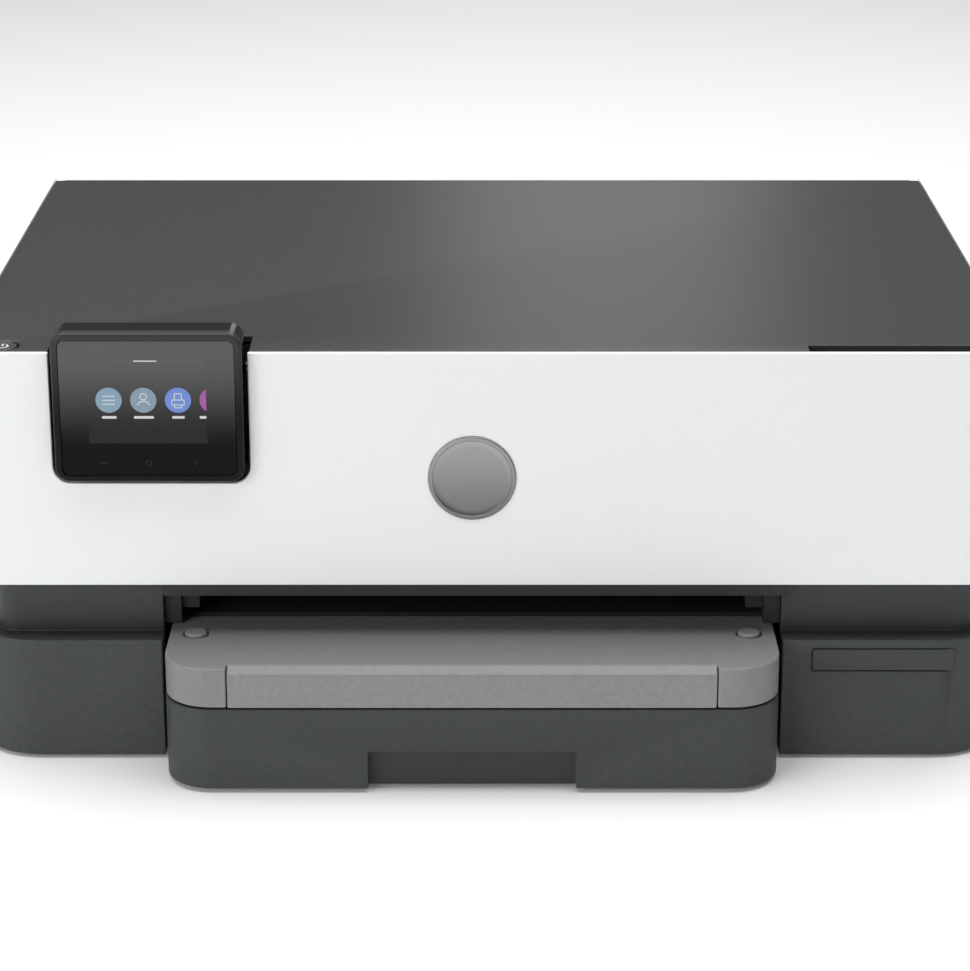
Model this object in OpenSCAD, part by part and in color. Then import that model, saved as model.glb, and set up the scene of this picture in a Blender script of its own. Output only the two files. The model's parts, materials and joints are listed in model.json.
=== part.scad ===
// Desktop inkjet printer: casings, paper trays, control panel and print engine.
// X runs to the right, Y to the rear and Z up. The origin is on the desk, under the middle of the printer.

/* [Body] */
// Overall width of the casing
body_w = 439; // [400:1:530]
// Depth of the casing, from the front panel to the rear wall
body_d = 307; // [280:1:370]
// Height of the lid's top face above the desk
lid_z = 180; // [165:1:216]
// Thickness of the dark base's walls
base_wall = 2.5; // [2:0.1:4]
// Thickness of the white shell's walls
shell_wall = 2.6; // [2:0.1:4]
// Plan radius of the base's front corners
base_r = 30; // [20:1:40]
// Plan radius of the shell's front corners
shell_r = 14; // [8:1:20]
// Plan radius of the rear corners
rear_r = 2; // [1.5:0.5:2.5]
// Height of the rubber feet below the base
foot_h = 1.5; // [1:0.1:5]
// Diameter of a rubber foot
foot_d = 18; // [12:1:24]

/* [Base] */
// Height of the ledge round the base
ledge_z = 54; // [50:1:58]
// Height of the shell's lower edge
shell_z = 79; // [74:1:84]
// How far the recessed band sits inside the base
band_in = 11; // [6:1:12]

/* [Lid] */
// Thickness of the lid's plate
lid_t = 3; // [2:0.1:5]
// Gap between the lid and the shell
lid_gap = 0.6; // [0.4:0.1:1.5]
// Radius of the lid's rear barrel, round its hinge axis
barrel_r = 7; // [6:0.5:9]
// Radius of the lid's hinge pins
hinge_pin_r = 2.5; // [2:0.1:2.8]
// Width of the finger recess at the lid's front right corner
recess_w = 85; // [60:1:110]
// Depth of the finger recess
recess_d = 11.4; // [9:0.1:16]

/* [Control panel] */
// Width of the control panel's bezel
panel_w = 77.6; // [70:0.1:90]
// Height of the control panel's bezel
panel_h = 63.5; // [55:0.5:76]
// Thickness of the control panel
panel_t = 17; // [12:0.5:20]
// How far the panel rises above the lid
panel_rise = 10; // [6:0.5:14]
// How far the panel stands out of the front
panel_proud = 6; // [3:0.5:10]
// Plan position of the panel's middle, measured in from the left wall
panel_from_left = 81; // [70:1:100]
// Corner radius of the panel
panel_r = 6; // [4:0.5:8]
// Gap round the panel in its pocket
panel_gap = 1.8; // [1:0.1:3]
// Diameter of the power button
power_d = 12; // [9:0.5:14]
// Position of the power button, in from the left wall and back from the front
power_at = [20.2, 12.4];

/* [Trays] */
// Outer width of the paper trays
tray_w = 255.6; // [250:0.1:262]
// How far the trays stand out in front of the casing
tray_out = 35; // [28:1:42]
// Sideways offset of the paper path from the printer's middle
path_x = -6.5; // [-12:0.5:0]
// Gap between the trays and the base on each side
tray_gap = 2.6; // [1.5:0.1:4]
// Plan radius of the trays' front corners
tray_r = 20; // [12:1:28]
// Top of the input tray's front
tray_top = 37.6; // [34:0.1:38]
// Top of the output tray
output_top = 55.7; // [52:0.1:60]
// Gap between the input tray and the output tray
tray_seam = 0.8; // [0.5:0.1:1.5]
// Width of the handle notch
handle_w = 86; // [60:1:110]
// Height of the handle notch
handle_h = 16.4; // [12:0.1:20]
// Width of the extender
extender_w = 202; // [180:1:212]
// Distance between the release buttons
release_span = 232.8; // [226:0.2:234]
// Diameter of a release button
release_d = 9.6; // [7:0.1:10]
// Width of the paper between the guides
paper_w = 216; // [210:1:218]

/* [Print engine] */
// Height of the platen's top, where the paper runs
platen_z = 92; // [90:0.5:96]
// Radius of the feed and exit rollers
roller_r = 6; // [5:0.1:6.5]
// Distance from the rear wall to the feed roller
feed_from_back = 137; // [132:1:145]
// Distance from the rear wall to the guide rod
rod_from_back = 119; // [117:1:121]
// Height of the guide rod
rod_z = 112; // [111:0.5:114]
// Diameter of the guide rod
rod_d = 8; // [6:0.5:9]
// Width of the carriage
carriage_w = 84; // [80:1:90]
// Depth of the carriage
carriage_d = 80; // [76:1:84]
// Width of one ink cartridge
ink_w = 17; // [14:0.5:18]
// Radial clearance of a shaft in its hole
run_gap = 0.08; // [0.05:0.01:0.1]

/* [Hidden] */
$fn = 48;

// Colours
dark = [0.24, 0.25, 0.25];
white = [0.92, 0.93, 0.93];
grey = [0.56, 0.56, 0.57];
black = [0.06, 0.06, 0.07];
steel = [0.72, 0.73, 0.75];
rubber = [0.12, 0.12, 0.13];

// Main places
total_d = body_d + tray_out;
y_tray = -total_d / 2;
y_front = y_tray + tray_out;
y_back = total_d / 2;
x_half = body_w / 2;
base_z = foot_h;
floor_z = base_z + base_wall;
eps = 0.01;
gear_m = 1;
inner_r = 1;

// The bay that the trays slide in
bay_half = tray_w / 2 + tray_gap;
bay_x = [path_x - bay_half, path_x + bay_half];
rail_w = tray_gap + 1.9;

// Lid and hinge
lid_under = lid_z - lid_t;
hinge_y = y_back - barrel_r;
hinge_z = lid_z - barrel_r;
lid_half = x_half - shell_wall - lid_gap;
lid_front = y_front + shell_wall + lid_gap;
rear_top = hinge_z - barrel_r + 0.4;
ring_t = 4;
ring_top = lid_z - 10;
ring_in = 13;
bracket_r = 4.6;
stem_r = 2;

// Control panel
panel_x = -x_half + panel_from_left;
panel_top = lid_z + panel_rise;
panel_bottom = panel_top - panel_h;
panel_face = y_front - panel_proud;
panel_rear = panel_face + panel_t;
tilt_y = y_front + 8;
tilt_z = lid_z - 8;
pocket_half = panel_w / 2 + panel_gap;
pocket_z = panel_bottom - panel_gap - 0.6;
pocket_back = y_front + 25;
pocket_wall = 1.6;
tilt_pin_r = 2;

// Input tray
skin = 2.8;
bin_half = tray_w / 2 - skin;
bin_front = y_tray + 7.6;
bin_rear = y_back - 26;
bin_floor = [floor_z + 4, floor_z + 6];
bin_wall = 2.4;
bin_top = tray_top - 6.6;
fascia_back = y_front + 8;
rack_z = [floor_z + 1, bin_floor[0] - 0.4];
rack_w = 7;
pinion_n = 16;
pinion_r = pinion_n * gear_m / 2;
pinion_y = y_back - 149;
pinion_pin_r = 3;
guide_travel = 50;
guide_y = [y_back - 241, y_back - 111];
guide_t = 2.2;
post_y = pinion_r + 1.6;
stop_travel = 85;

// Print engine
frame_x = [-x_half + 23.5, x_half - 16];
frame_t = 1.5;
feed_y = y_back - feed_from_back;
roller_z = platen_z - roller_r;
feed_n = 38;
idler_n = 24;
drive_n = 16;
exit_y = feed_y - (feed_n + idler_n) * gear_m;
idler_y = feed_y - (feed_n + idler_n) * gear_m / 2;
drive_angle = -62;
drive_reach = (feed_n + drive_n) * gear_m / 2;
drive_y = feed_y + drive_reach * cos(drive_angle);
drive_z = roller_z + drive_reach * sin(drive_angle);
gear_w = 5;
gear_x = frame_x[0] - frame_t - 1.5 - gear_w;
rod_y = y_back - rod_from_back;
carriage_z = 104;
carriage_top = lid_z - 24;
carriage_back = rod_y - 7;
carriage_front = carriage_back - carriage_d;
park_x = frame_x[1] - carriage_w / 2 - 4;
ink_pitch = ink_w + 1.6;
belt_y = [rod_y + 6.6, rod_y + 11.6];
belt_z = 130;
belt_r = 6.4;
belt_t = 1.2;
beam_y = [rod_y + 14, rod_y + 15.5];
beam_z = [platen_z - 2, carriage_top + 1.2];
pulley_x = [frame_x[0] + 13, frame_x[1] - 12];
pulley_r = belt_r - 0.4;
shaft_r = 2.5;
motor_shaft_r = 1.5;
bush_r = 6.2;
pinch_r = 3.5;
pinch_axle_r = 1.2;
pinch_z = platen_z + pinch_r + 0.2;
pick_y = y_back - 99;
pick_z = ledge_z + 8;
pick_angle = -23;
pick_reach = 46;
pick_r = 11;

// ---------------------------------------------------------------- helpers

// A box given by its two ends on each axis
module block(x, y, z)
    translate([x[0], y[0], z[0]]) cube([x[1] - x[0], y[1] - y[0], z[1] - z[0]]);

// Points along an arc, for outlines
function arc(c, r, a0, a1, n = 10) =
    [for (i = [0 : n]) let (a = a0 + (a1 - a0) * i / n) [c[0] + r * cos(a), c[1] + r * sin(a)]];

// A rounded rectangle with its own radius at the two low-Y and the two high-Y corners
function outline(x, y, low_r, high_r) = concat(
    arc([x[1] - low_r, y[0] + low_r], low_r, -90, 0),
    arc([x[1] - high_r, y[1] - high_r], high_r, 0, 90),
    arc([x[0] + high_r, y[1] - high_r], high_r, 90, 180),
    arc([x[0] + low_r, y[0] + low_r], low_r, 180, 270));

// An upright prism on a rounded plan
module slab(x, y, z, low_r, high_r)
    translate([0, 0, z[0]]) linear_extrude(z[1] - z[0]) polygon(outline(x, y, low_r, high_r));

// A plate on the XZ plane with rounded corners, between two Y values
module face_plate(x, y, z, low_r, high_r)
    translate([0, y[1], 0]) rotate([90, 0, 0])
        linear_extrude(y[1] - y[0]) polygon(outline(x, z, low_r, high_r));

// Cylinders along X, Y and Z
module rod_x(x, y, z, r) translate([x[0], y, z]) rotate([0, 90, 0]) cylinder(r = r, h = x[1] - x[0]);
module rod_yy(x, y, z, r) translate([x, y[1], z]) rotate([90, 0, 0]) cylinder(r = r, h = y[1] - y[0]);
module rod_z(x, y, z, r) translate([x, y, z[0]]) cylinder(r = r, h = z[1] - z[0]);

// An extrusion along X of an outline in the YZ plane
module along_x(x, points)
    translate([x[0], 0, 0]) rotate([90, 0, 90]) linear_extrude(x[1] - x[0]) polygon(points);

// Involute teeth
pressure = 20;
backlash = 0.18;
function inv(a) = tan(a) * 180 / PI - a;
function flank(n, r) = let (rb = gear_m * n / 2 * cos(pressure))
    (90 - backlash / gear_m * 90 / PI) / n + inv(pressure) - inv(acos(min(1, rb / max(r, rb))));
function tooth_radii(n) = let (rp = gear_m * n / 2)
    [rp - 1.25 * gear_m, max(rp - 0.6 * gear_m, rp * cos(pressure)), rp, rp + 0.5 * gear_m,
        rp + 0.95 * gear_m];
function gear_points(n, phase) = [
    for (i = [0 : n - 1], side = [-1, 1], k = [0 : 4])
        let (r = tooth_radii(n)[side < 0 ? k : 4 - k], a = phase + i * 360 / n + side * flank(n, r))
        [r * cos(a), r * sin(a)]];
module gear(n, h, bore, phase = 0)
    linear_extrude(h) difference() {
        polygon(gear_points(n, phase));
        circle(r = bore);
    }

// The phase of gear b that meshes with gear a, when b lies at angle d from a
function mesh_phase(phase_a, na, nb, d) = d + 180 + 180 / nb - (phase_a - d) * na / nb;

// A straight rack along X, its teeth pointing to +Y from pitch line 0; a gap lies at x = 0
module rack(x, h) {
    p = PI * gear_m;
    half = (p / 2 - backlash) / 2;
    lean = gear_m * tan(pressure);
    first = ceil(x[0] / p);
    last = floor(x[1] / p) - 1;
    linear_extrude(h) union() {
        translate([x[0], -rack_w + 1.2]) square([x[1] - x[0], rack_w - 1.2 - 1.25 * gear_m]);
        for (i = [first : last]) translate([(i + 0.5) * p, 0])
            polygon([[-half - lean * 1.25 - eps, -1.25 * gear_m - eps], [half + lean * 1.25 + eps,
                -1.25 * gear_m - eps],
                     [half - lean * 0.9, 0.9 * gear_m], [-half + lean * 0.9, 0.9 * gear_m]]);
    }
}

// A screw with a domed head along an axis, its head's underside at the origin
screw_r = 1.5;
module screw(len = 6, head_r = 2.8) {
    translate([0, 0, -len]) cylinder(r = screw_r, h = len + eps, $fn = 24);
    difference() {
        cylinder(r1 = head_r, r2 = head_r - 0.6, h = 1.6, $fn = 24);
        translate([0, 0, 0.7]) block([-1.8, 1.8], [-0.35, 0.35], [0, 2]);
        translate([0, 0, 0.7]) block([-0.35, 0.35], [-1.8, 1.8], [0, 2]);
    }
}

// ---------------------------------------------------------------- casing

band_x = x_half - band_in;
band_y = y_front + band_in;
band_r = 10;
pod_x = [[-x_half, bay_x[0]], [bay_x[1], x_half]];
inlet_x = x_half - 56;
inlet_z = 30;
inlet_size = [24, 16];
boss_r = 4;
boss_z = floor_z + 4;
frame_foot_y = [exit_y - 16, rod_y + 44];

// Dark lower casing: two pods, the tray bay between them and the recessed band above
module base_housing() color(dark) {
    difference() {
        union() {
            slab([-x_half, x_half], [y_front, y_back], [base_z, ledge_z], base_r, rear_r);
            slab([-band_x, band_x], [band_y, y_back], [ledge_z - eps, shell_z], band_r, rear_r);
        }
        // hollow of the pods and of the band
        slab([-x_half + base_wall, x_half - base_wall], [y_front + base_wall, y_back - base_wall],
             [floor_z, ledge_z - base_wall], base_r - base_wall, inner_r);
        slab([-band_x + base_wall, band_x - base_wall], [band_y + base_wall, y_back - base_wall],
             [floor_z, shell_z + 1], band_r - base_wall, inner_r);
        // mouth of the bay, open at the front
        block(bay_x, [y_front - 1, band_y + base_wall + 1], [floor_z, shell_z + 1]);
        block(bay_x, [y_front - 1, fascia_back + 1], [0, floor_z + 1]);
        // rear openings: access door and power inlet
        block([path_x - rear_door_w / 2, path_x + rear_door_w / 2], [y_back - base_wall - 1, y_back + 1],
              [rear_door_z[0], shell_z + 1]);
        block([inlet_x - inlet_size[0] / 2, inlet_x + inlet_size[0] / 2], [y_back - base_wall - 1,
            y_back + 1],
              [inlet_z - inlet_size[1] / 2, inlet_z + inlet_size[1] / 2]);
        // room for the rear door's pins
        rod_x([path_x - rear_door_w / 2 - 5, path_x + rear_door_w / 2 + 5], door_y, door_z,
            door_pin_r + run_gap);
        // pockets for the feet
        for (p = foot_places) rod_z(p[0], p[1], [base_z - 1, base_z + 1], foot_d / 2 - 1.5);
        // name plate's shallow pocket
        face_plate([plate_x - plate_w / 2, plate_x + plate_w / 2], [y_front - 1, y_front + 0.6],
                   [plate_z - plate_h / 2, plate_z + plate_h / 2], 1, 1);
    }
    // inner walls of the pods, with guide rails for both trays
    for (s = [0, 1]) {
        wall_x = s == 0 ? [bay_x[0] - base_wall, bay_x[0]] : [bay_x[1], bay_x[1] + base_wall];
        rail_x = s == 0 ? [bay_x[0] - eps, bay_x[0] + rail_w] : [bay_x[1] - rail_w, bay_x[1] + eps];
        block(wall_x, [y_front + 1, y_back - base_wall + eps], [floor_z - eps, ledge_z - base_wall + eps]);
        block(rail_x, [y_front + 16, output_back + 30], [tray_top + 4, tray_top + 6]);
    }
    // lugs for the rear door's pins
    for (s = [-1, 1]) difference() {
        lug = path_x + s * rear_door_w / 2;
        block([min(lug, lug + s * 3.5), max(lug, lug + s * 3.5)], [door_y - 4.5, y_back - base_wall + eps],
              [rear_door_z[0] - 3, door_z + 5]);
        rod_x([lug - 5, lug + 5], door_y, door_z, door_pin_r + run_gap);
    }
    // bosses that the side frames are screwed to
    for (x = [frame_x[0] + 8, frame_x[1] - 8], y = frame_foot_y)
        difference() {
            rod_z(x, y, [floor_z - eps, boss_z], boss_r);
            rod_z(x, y, [floor_z, floor_z + 5], screw_r);
        }
}

foot_places = [for (x = [-x_half + 45, x_half - 45], y = [y_front + 30, y_back - 30]) [x, y]];
module rubber_feet() color(rubber)
    for (p = foot_places) {
        rod_z(p[0], p[1], [0, base_z], foot_d / 2);
        rod_z(p[0], p[1], [base_z - eps, base_z + 1], foot_d / 2 - 1.6);
    }

status_x = -x_half + 18.5;
badge_d = 36;
badge_z = lid_z - 53.7;
// White upper casing: the front panel and both sides, open at the rear, with a lip over the band
module shell_cover() color(white) difference() {
    slab([-x_half, x_half], [y_front, y_back], [shell_z, lid_z], shell_r, rear_r);
    slab([-x_half + shell_wall, x_half - shell_wall], [y_front + shell_wall, y_back + 1],
         [shell_z + shell_wall, lid_z + 1], shell_r - shell_wall, inner_r);
    slab([-band_x + base_wall, band_x - base_wall], [band_y + base_wall, y_back + 1],
         [shell_z - 1, shell_z + shell_wall + 1], band_r - base_wall, inner_r);
    // seat of the rear panel's lower edge
    block([-x_half + shell_wall, x_half - shell_wall], [y_back - base_wall - 0.1, y_back + 1],
          [shell_z - 1, shell_z + shell_wall + 1]);
    // control panel's cut-out, open at the top
    face_plate([panel_x - pocket_half, panel_x + pocket_half], [y_front - 1, y_front + shell_wall + 0.3],
               [pocket_z, lid_z + 20], panel_r + 1, 1);
    // badge's shallow seat
    rod_yy(path_x, [y_front - 1, y_front + 0.6], badge_z, badge_d / 2 + 0.1);
    // windows for the status lights
    for (k = [0 : 2]) rod_yy(status_x, [y_front - 1, y_front + shell_wall + 1], lid_z - 19 - k * 7.5, 1.5);
}

module front_badge() color(steel) difference() {
    rod_yy(path_x, [y_front - 0.8, y_front + 0.6], badge_z, badge_d / 2);
    rod_yy(path_x, [y_front - 1, y_front - 0.5], badge_z, badge_d / 2 - 2);
}

module status_lights() color("palegreen")
    for (k = [0 : 2]) rod_yy(status_x, [y_front, y_front + shell_wall + 1.5], lid_z - 19 - k * 7.5, 1.5);

plate_w = 60;
plate_h = 10;
plate_x = x_half - 53;
plate_z = ledge_z - 8.8;
module name_plate() color(dark)
    face_plate([plate_x - plate_w / 2 + 0.3, plate_x + plate_w / 2 - 0.3], [y_front + 0.1, y_front + 0.6],
               [plate_z - plate_h / 2 + 0.3, plate_z + plate_h / 2 - 0.3], 0.7, 0.7);

rear_door_w = 236;
rear_door_z = [58, 148];
port_x = x_half - 66;
port_z = 106;
door_y = y_back - 3;
door_z = rear_door_z[0] + 3;
door_r = 2.6;
door_pin_r = 1.5;
board_z = port_z - 2;
board_x = [path_x + rear_door_w / 2 + 5, x_half - 16];
board_y = [y_back - base_wall - 62, y_back - base_wall - 0.5];
rear_in = x_half - shell_wall - 0.2;
// Dark rear wall between the shell's sides, with the ports and a row of vents
module rear_panel() color(dark) difference() {
    union() {
        block([-rear_in, rear_in], [y_back - base_wall, y_back], [shell_z + eps, rear_top - 0.8]);
        // shelf that carries the main board
        block([board_x[0] - 1, board_x[1]], [board_y[0], y_back - base_wall + eps], [board_z - 3.6,
            board_z - 1.6]);
    }
    block([path_x - rear_door_w / 2, path_x + rear_door_w / 2], [y_back - base_wall - 1, y_back + 1],
          [shell_z - 1, rear_door_z[1]]);
    block([port_x - 9.5, port_x + 9.5], [y_back - base_wall - 1, y_back + 1], [board_z - 0.4, port_z + 15]);
    block([port_x + 15.5, port_x + 30.5], [y_back - base_wall - 1, y_back + 1], [board_z - 0.4,
        port_z + 12]);
    for (k = [0 : 7])
        block([-x_half + 20 + k * 7, -x_half + 23 + k * 7], [y_back - base_wall - 1, y_back + 1], [100,
            140]);
}

// Dark ring inside the shell's top edge: the lid rests on it, and it carries the hinge and the power button
module top_frame() color(dark) {
    inner_x = x_half - shell_wall - ring_in;
    pocket_x = [panel_x - pocket_half - pocket_wall, panel_x + pocket_half + pocket_wall];
    difference() {
        union() {
            difference() {
                slab([-x_half + shell_wall + 0.1, x_half - shell_wall - 0.1],
                     [y_front + shell_wall + 0.1, y_back - base_wall - 12],
                     [ring_top - ring_t, ring_top], shell_r - shell_wall, inner_r);
                slab([-inner_x, inner_x], [y_front + ring_in + 2, y_back + 20],
                     [ring_top - ring_t - 1, ring_top + 1], 6, inner_r);
            }
            block([pocket_x[0] - 6, pocket_x[1] + 6], [y_front + ring_in, pocket_back + pocket_wall + 6],
                  [ring_top - ring_t, ring_top]);
        }
        // room for the control panel's pocket
        block([pocket_x[0] - 0.1, pocket_x[1] + 0.1], [y_front, pocket_back + pocket_wall + 0.1],
              [ring_top - ring_t - 1, ring_top + 1]);
        // guide hole for the power button's stem
        rod_z(power_x, power_y, [ring_top - ring_t - 1, ring_top + 1], stem_r + run_gap);
    }
    // hinge brackets at the two rear corners
    for (s = [-1, 1]) difference() {
        bx = s * (lid_half - 4);
        side = [min(bx, bx + s * 3.4), max(bx, bx + s * 3.4)];
        union() {
            rod_x(side, hinge_y, hinge_z, bracket_r);
            block(side, [hinge_y - bracket_r, hinge_y + bracket_r - 0.4], [ring_top - 20, hinge_z]);
            block(side, [hinge_y - 16, hinge_y], [ring_top - 20, ring_top - ring_t + 1]);
        }
        rod_x([bx - 5, bx + 5], hinge_y, hinge_z, hinge_pin_r + run_gap);
    }
}

// Dark tray that the control panel folds into
module panel_pocket() color(black) difference() {
    block([panel_x - pocket_half - pocket_wall, panel_x + pocket_half + pocket_wall],
          [y_front + shell_wall + 0.1, pocket_back + pocket_wall], [pocket_z - pocket_wall, lid_under - 1]);
    block([panel_x - pocket_half, panel_x + pocket_half], [y_front, pocket_back], [pocket_z, lid_z]);
    rod_x([panel_x - pocket_half - 5, panel_x + pocket_half + 5], tilt_y, tilt_z, tilt_pin_r + run_gap);
}

// ---------------------------------------------------------------- lid

recess_x = [lid_half - recess_w, lid_half + 1];
power_x = -x_half + power_at[0];
power_y = y_front + power_at[1];

// Dark lid: a flat plate that ends in a round barrel on the hinge axis
module lid_panel() color(dark) {
    difference() {
        union() {
            slab([-lid_half, lid_half], [lid_front, hinge_y], [lid_under, lid_z], shell_r - shell_wall,
                0.5);
            rod_x([-lid_half + 4.6, lid_half - 4.6], hinge_y, hinge_z, barrel_r);
        }
        // notch for the control panel and its pocket
        block([panel_x - pocket_half - 0.4, panel_x + pocket_half + 0.4],
              [lid_front - 1, pocket_back + 0.2], [lid_under - 1, lid_z + 1]);
        // finger recess
        block(recess_x, [lid_front - 1, y_front + recess_d], [lid_under - 1, lid_z + 1]);
        // power button's hole and its dish
        rod_z(power_x, power_y, [lid_under - 1, lid_z + 1], power_d / 2 + 0.7);
        translate([power_x, power_y, lid_z - 1]) cylinder(r1 = power_d / 2 + 0.7, r2 = power_d / 2 + 2.4,
            h = 1 + eps);
        // room behind the barrel's ends for the hinge brackets
        for (s = [-1, 1])
            block([min(s * (lid_half + 1), s * (lid_half - 4.6)), max(s * (lid_half + 1),
                s * (lid_half - 4.6))],
                  [hinge_y - 9, hinge_y + 9], [hinge_z - 9, lid_z - 1.8]);
    }
    // stiffening frame and ribs underneath
    liner_x = x_half - shell_wall - ring_in - 3;
    liner_y = [pocket_back + 6, hinge_y - 14];
    rib_z = [lid_under - 5, lid_under + eps];
    difference() {
        slab([-liner_x, liner_x], liner_y, rib_z, 8, 4);
        slab([-liner_x + 2, liner_x - 2], [liner_y[0] + 2, liner_y[1] - 2], [rib_z[0] - 1, rib_z[1] + 1],
            6, 3);
    }
    for (k = [1 : 5], x = -liner_x + 2 * liner_x * k / 6)
        block([x - 0.8, x + 0.8], [liner_y[0] + 1, liner_y[1] - 1], rib_z);
    for (k = [1 : 3], y = liner_y[0] + (liner_y[1] - liner_y[0]) * k / 4)
        block([-liner_x + 1, liner_x - 1], [y - 0.8, y + 0.8], rib_z);
    for (s = [-1, 1]) {
        px = s * (lid_half - 4.6);
        rod_x([min(px, px + s * 3.6) - eps, max(px, px + s * 3.6) + eps], hinge_y, hinge_z, hinge_pin_r);
    }
}

// ---------------------------------------------------------------- control panel and power button

panel_px = [panel_x - panel_w / 2, panel_x + panel_w / 2];
bezel_t = 4;
bezel_in = 3;
glass_t = 1.4;

// Rear half of the control panel, with its two tilt pins
module panel_housing() color(black) {
    difference() {
        face_plate(panel_px, [panel_face + bezel_t, panel_rear], [panel_bottom, panel_top], panel_r,
            panel_r);
        face_plate([panel_px[0] + 2, panel_px[1] - 2], [panel_face + bezel_t - 1, panel_rear - 2],
                   [panel_bottom + 2, panel_top - 2], panel_r - 2, panel_r - 2);
    }
    for (s = [0, 1]) {
        x = panel_px[s];
        rod_x(s == 0 ? [x - panel_gap - pocket_wall + 0.2, x + eps] : [x - eps,
            x + panel_gap + pocket_wall - 0.2],
              tilt_y, tilt_z, tilt_pin_r);
    }
}

// Front frame round the glass
module panel_bezel() color(black) difference() {
    face_plate(panel_px, [panel_face, panel_face + bezel_t], [panel_bottom, panel_top], panel_r, panel_r);
    face_plate([panel_px[0] + bezel_in, panel_px[1] - bezel_in], [panel_face - 1,
        panel_face + glass_t + 0.4],
               [panel_bottom + bezel_in, panel_top - bezel_in], panel_r - 2, panel_r - 2);
    face_plate([panel_px[0] + bezel_in + 4, panel_px[1] - bezel_in - 4], [panel_face,
        panel_face + bezel_t + 1],
               [panel_bottom + bezel_in + 4, panel_top - bezel_in - 4], 2, 2);
}

// Touch glass, sunk a little into the bezel
module touch_glass() color([0.1, 0.1, 0.11])
    face_plate([panel_px[0] + bezel_in + 0.2, panel_px[1] - bezel_in - 0.2],
               [panel_face + 0.4, panel_face + 0.4 + glass_t],
               [panel_bottom + bezel_in + 0.2, panel_top - bezel_in - 0.2], panel_r - 2.2, panel_r - 2.2);

module power_button() color(dark) {
    rod_z(power_x, power_y, [lid_under - 1, lid_z - 0.4], power_d / 2);
    rod_z(power_x, power_y, [ring_top - ring_t - 2, lid_under - 1 + eps], stem_r);
    rod_z(power_x, power_y, [ring_top - ring_t - 3.2, ring_top - ring_t - 2 + eps], 3.2);
}

// ---------------------------------------------------------------- output path

extender_in = 4.7;
extender_drop = 2.4;
slab_z = [44, 49];
output_back = y_front + 24;
output_half = tray_w / 2 - 0.3;
channel_half = extender_w / 2;
release_y = y_front + 3.9;

// Grey output tray: a hollow cover whose front corners follow the input tray below
module output_tray() color(grey) difference() {
    slab([path_x - output_half, path_x + output_half], [y_tray, output_back], [tray_top + tray_seam,
        output_top], tray_r, 1);
    // channel for the extender: its slab behind, its front block at the front
    block([path_x - channel_half, path_x + channel_half], [y_tray - 1, output_back + 1],
        [slab_z[0] - 0.6, slab_z[1] + 0.6]);
    block([path_x - channel_half, path_x + channel_half], [y_tray - 1, y_tray + extender_in],
          [tray_top - 1, output_top + 1]);
    // light hollow underneath
    for (s = [-1, 1]) block([path_x + s * 60 - 36, path_x + s * 60 + 36], [y_tray + 12, output_back - 3],
                            [tray_top - 1, slab_z[0] - 2.4]);
    // grooves that run on the base's rails
    for (s = [-1, 1]) block([path_x + s * (output_half + 1) - 3.6, path_x + s * (output_half + 1) + 3.6],
                            [y_front + 12, output_back + 1], [tray_top + 3.4, tray_top + 6.6]);
    // holes for the release buttons
    for (s = [-1, 1]) rod_z(path_x + s * release_span / 2, release_y, [tray_top + tray_seam + 2,
        output_top + 1],
                            release_d / 2 + 0.6);
}

// Extender: the chamfered front block with the long slab that slides in the output tray
module tray_extender() color(grey) {
    half = channel_half - 0.5;
    along_x([path_x - half, path_x + half],
            [[y_tray, tray_top + tray_seam], [y_tray + extender_in - 0.3, tray_top + tray_seam],
             [y_tray + extender_in - 0.3, output_top], [y_tray, output_top - extender_drop]]);
    block([path_x - half, path_x + half], [y_tray + extender_in - 0.3 - eps, output_back + 40], slab_z);
}

module release_button(s) color(grey) {
    x = path_x + s * release_span / 2;
    rod_z(x, release_y, [output_top - 10, output_top + 1.2], release_d / 2);
}
module left_release_button() release_button(-1);
module right_release_button() release_button(1);

ramp_y = [output_back + 2, exit_y - 13];
ramp_z = [output_top + 0.6, platen_z - 16];
lip_z = shell_z - 6.3;
chute = [bay_half - 0.1, bay_half - 7, bay_half - 14.5];
// Dark floor of the output bay, rising to the exit roller, with stepped sides and the lip over the mouth
module output_ramp() color([0.13, 0.13, 0.13]) {
    side_y = [band_y + 4, ramp_y[1]];
    along_x([path_x - chute[1] - eps, path_x + chute[1] + eps],
            [[ramp_y[0], ramp_z[0] - 2.5], [ramp_y[1], ramp_z[1] - 2.5], [ramp_y[1], ramp_z[1]],
                [ramp_y[0], ramp_z[0]]]);
    for (s = [-1, 1]) {
        edges = [for (c = chute) path_x + s * c];
        outer = [min(edges[0], edges[1]), max(edges[0], edges[1])];
        block(outer, side_y, [output_top + 0.4, shell_z - 0.1]);
        block(outer, [y_front + 4, side_y[0] + eps], [lip_z, shell_z - 0.1]);
        block([min(edges[1], edges[2]) - eps, max(edges[1], edges[2]) + eps], [side_y[0] + 3, side_y[1]],
              [ledge_z + 8, shell_z - 0.1]);
    }
    block([bay_x[0] + 0.1, bay_x[1] - 0.1], [y_front + 4, y_front + 7], [lip_z, shell_z - 0.1]);
}

// ---------------------------------------------------------------- input tray

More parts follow.
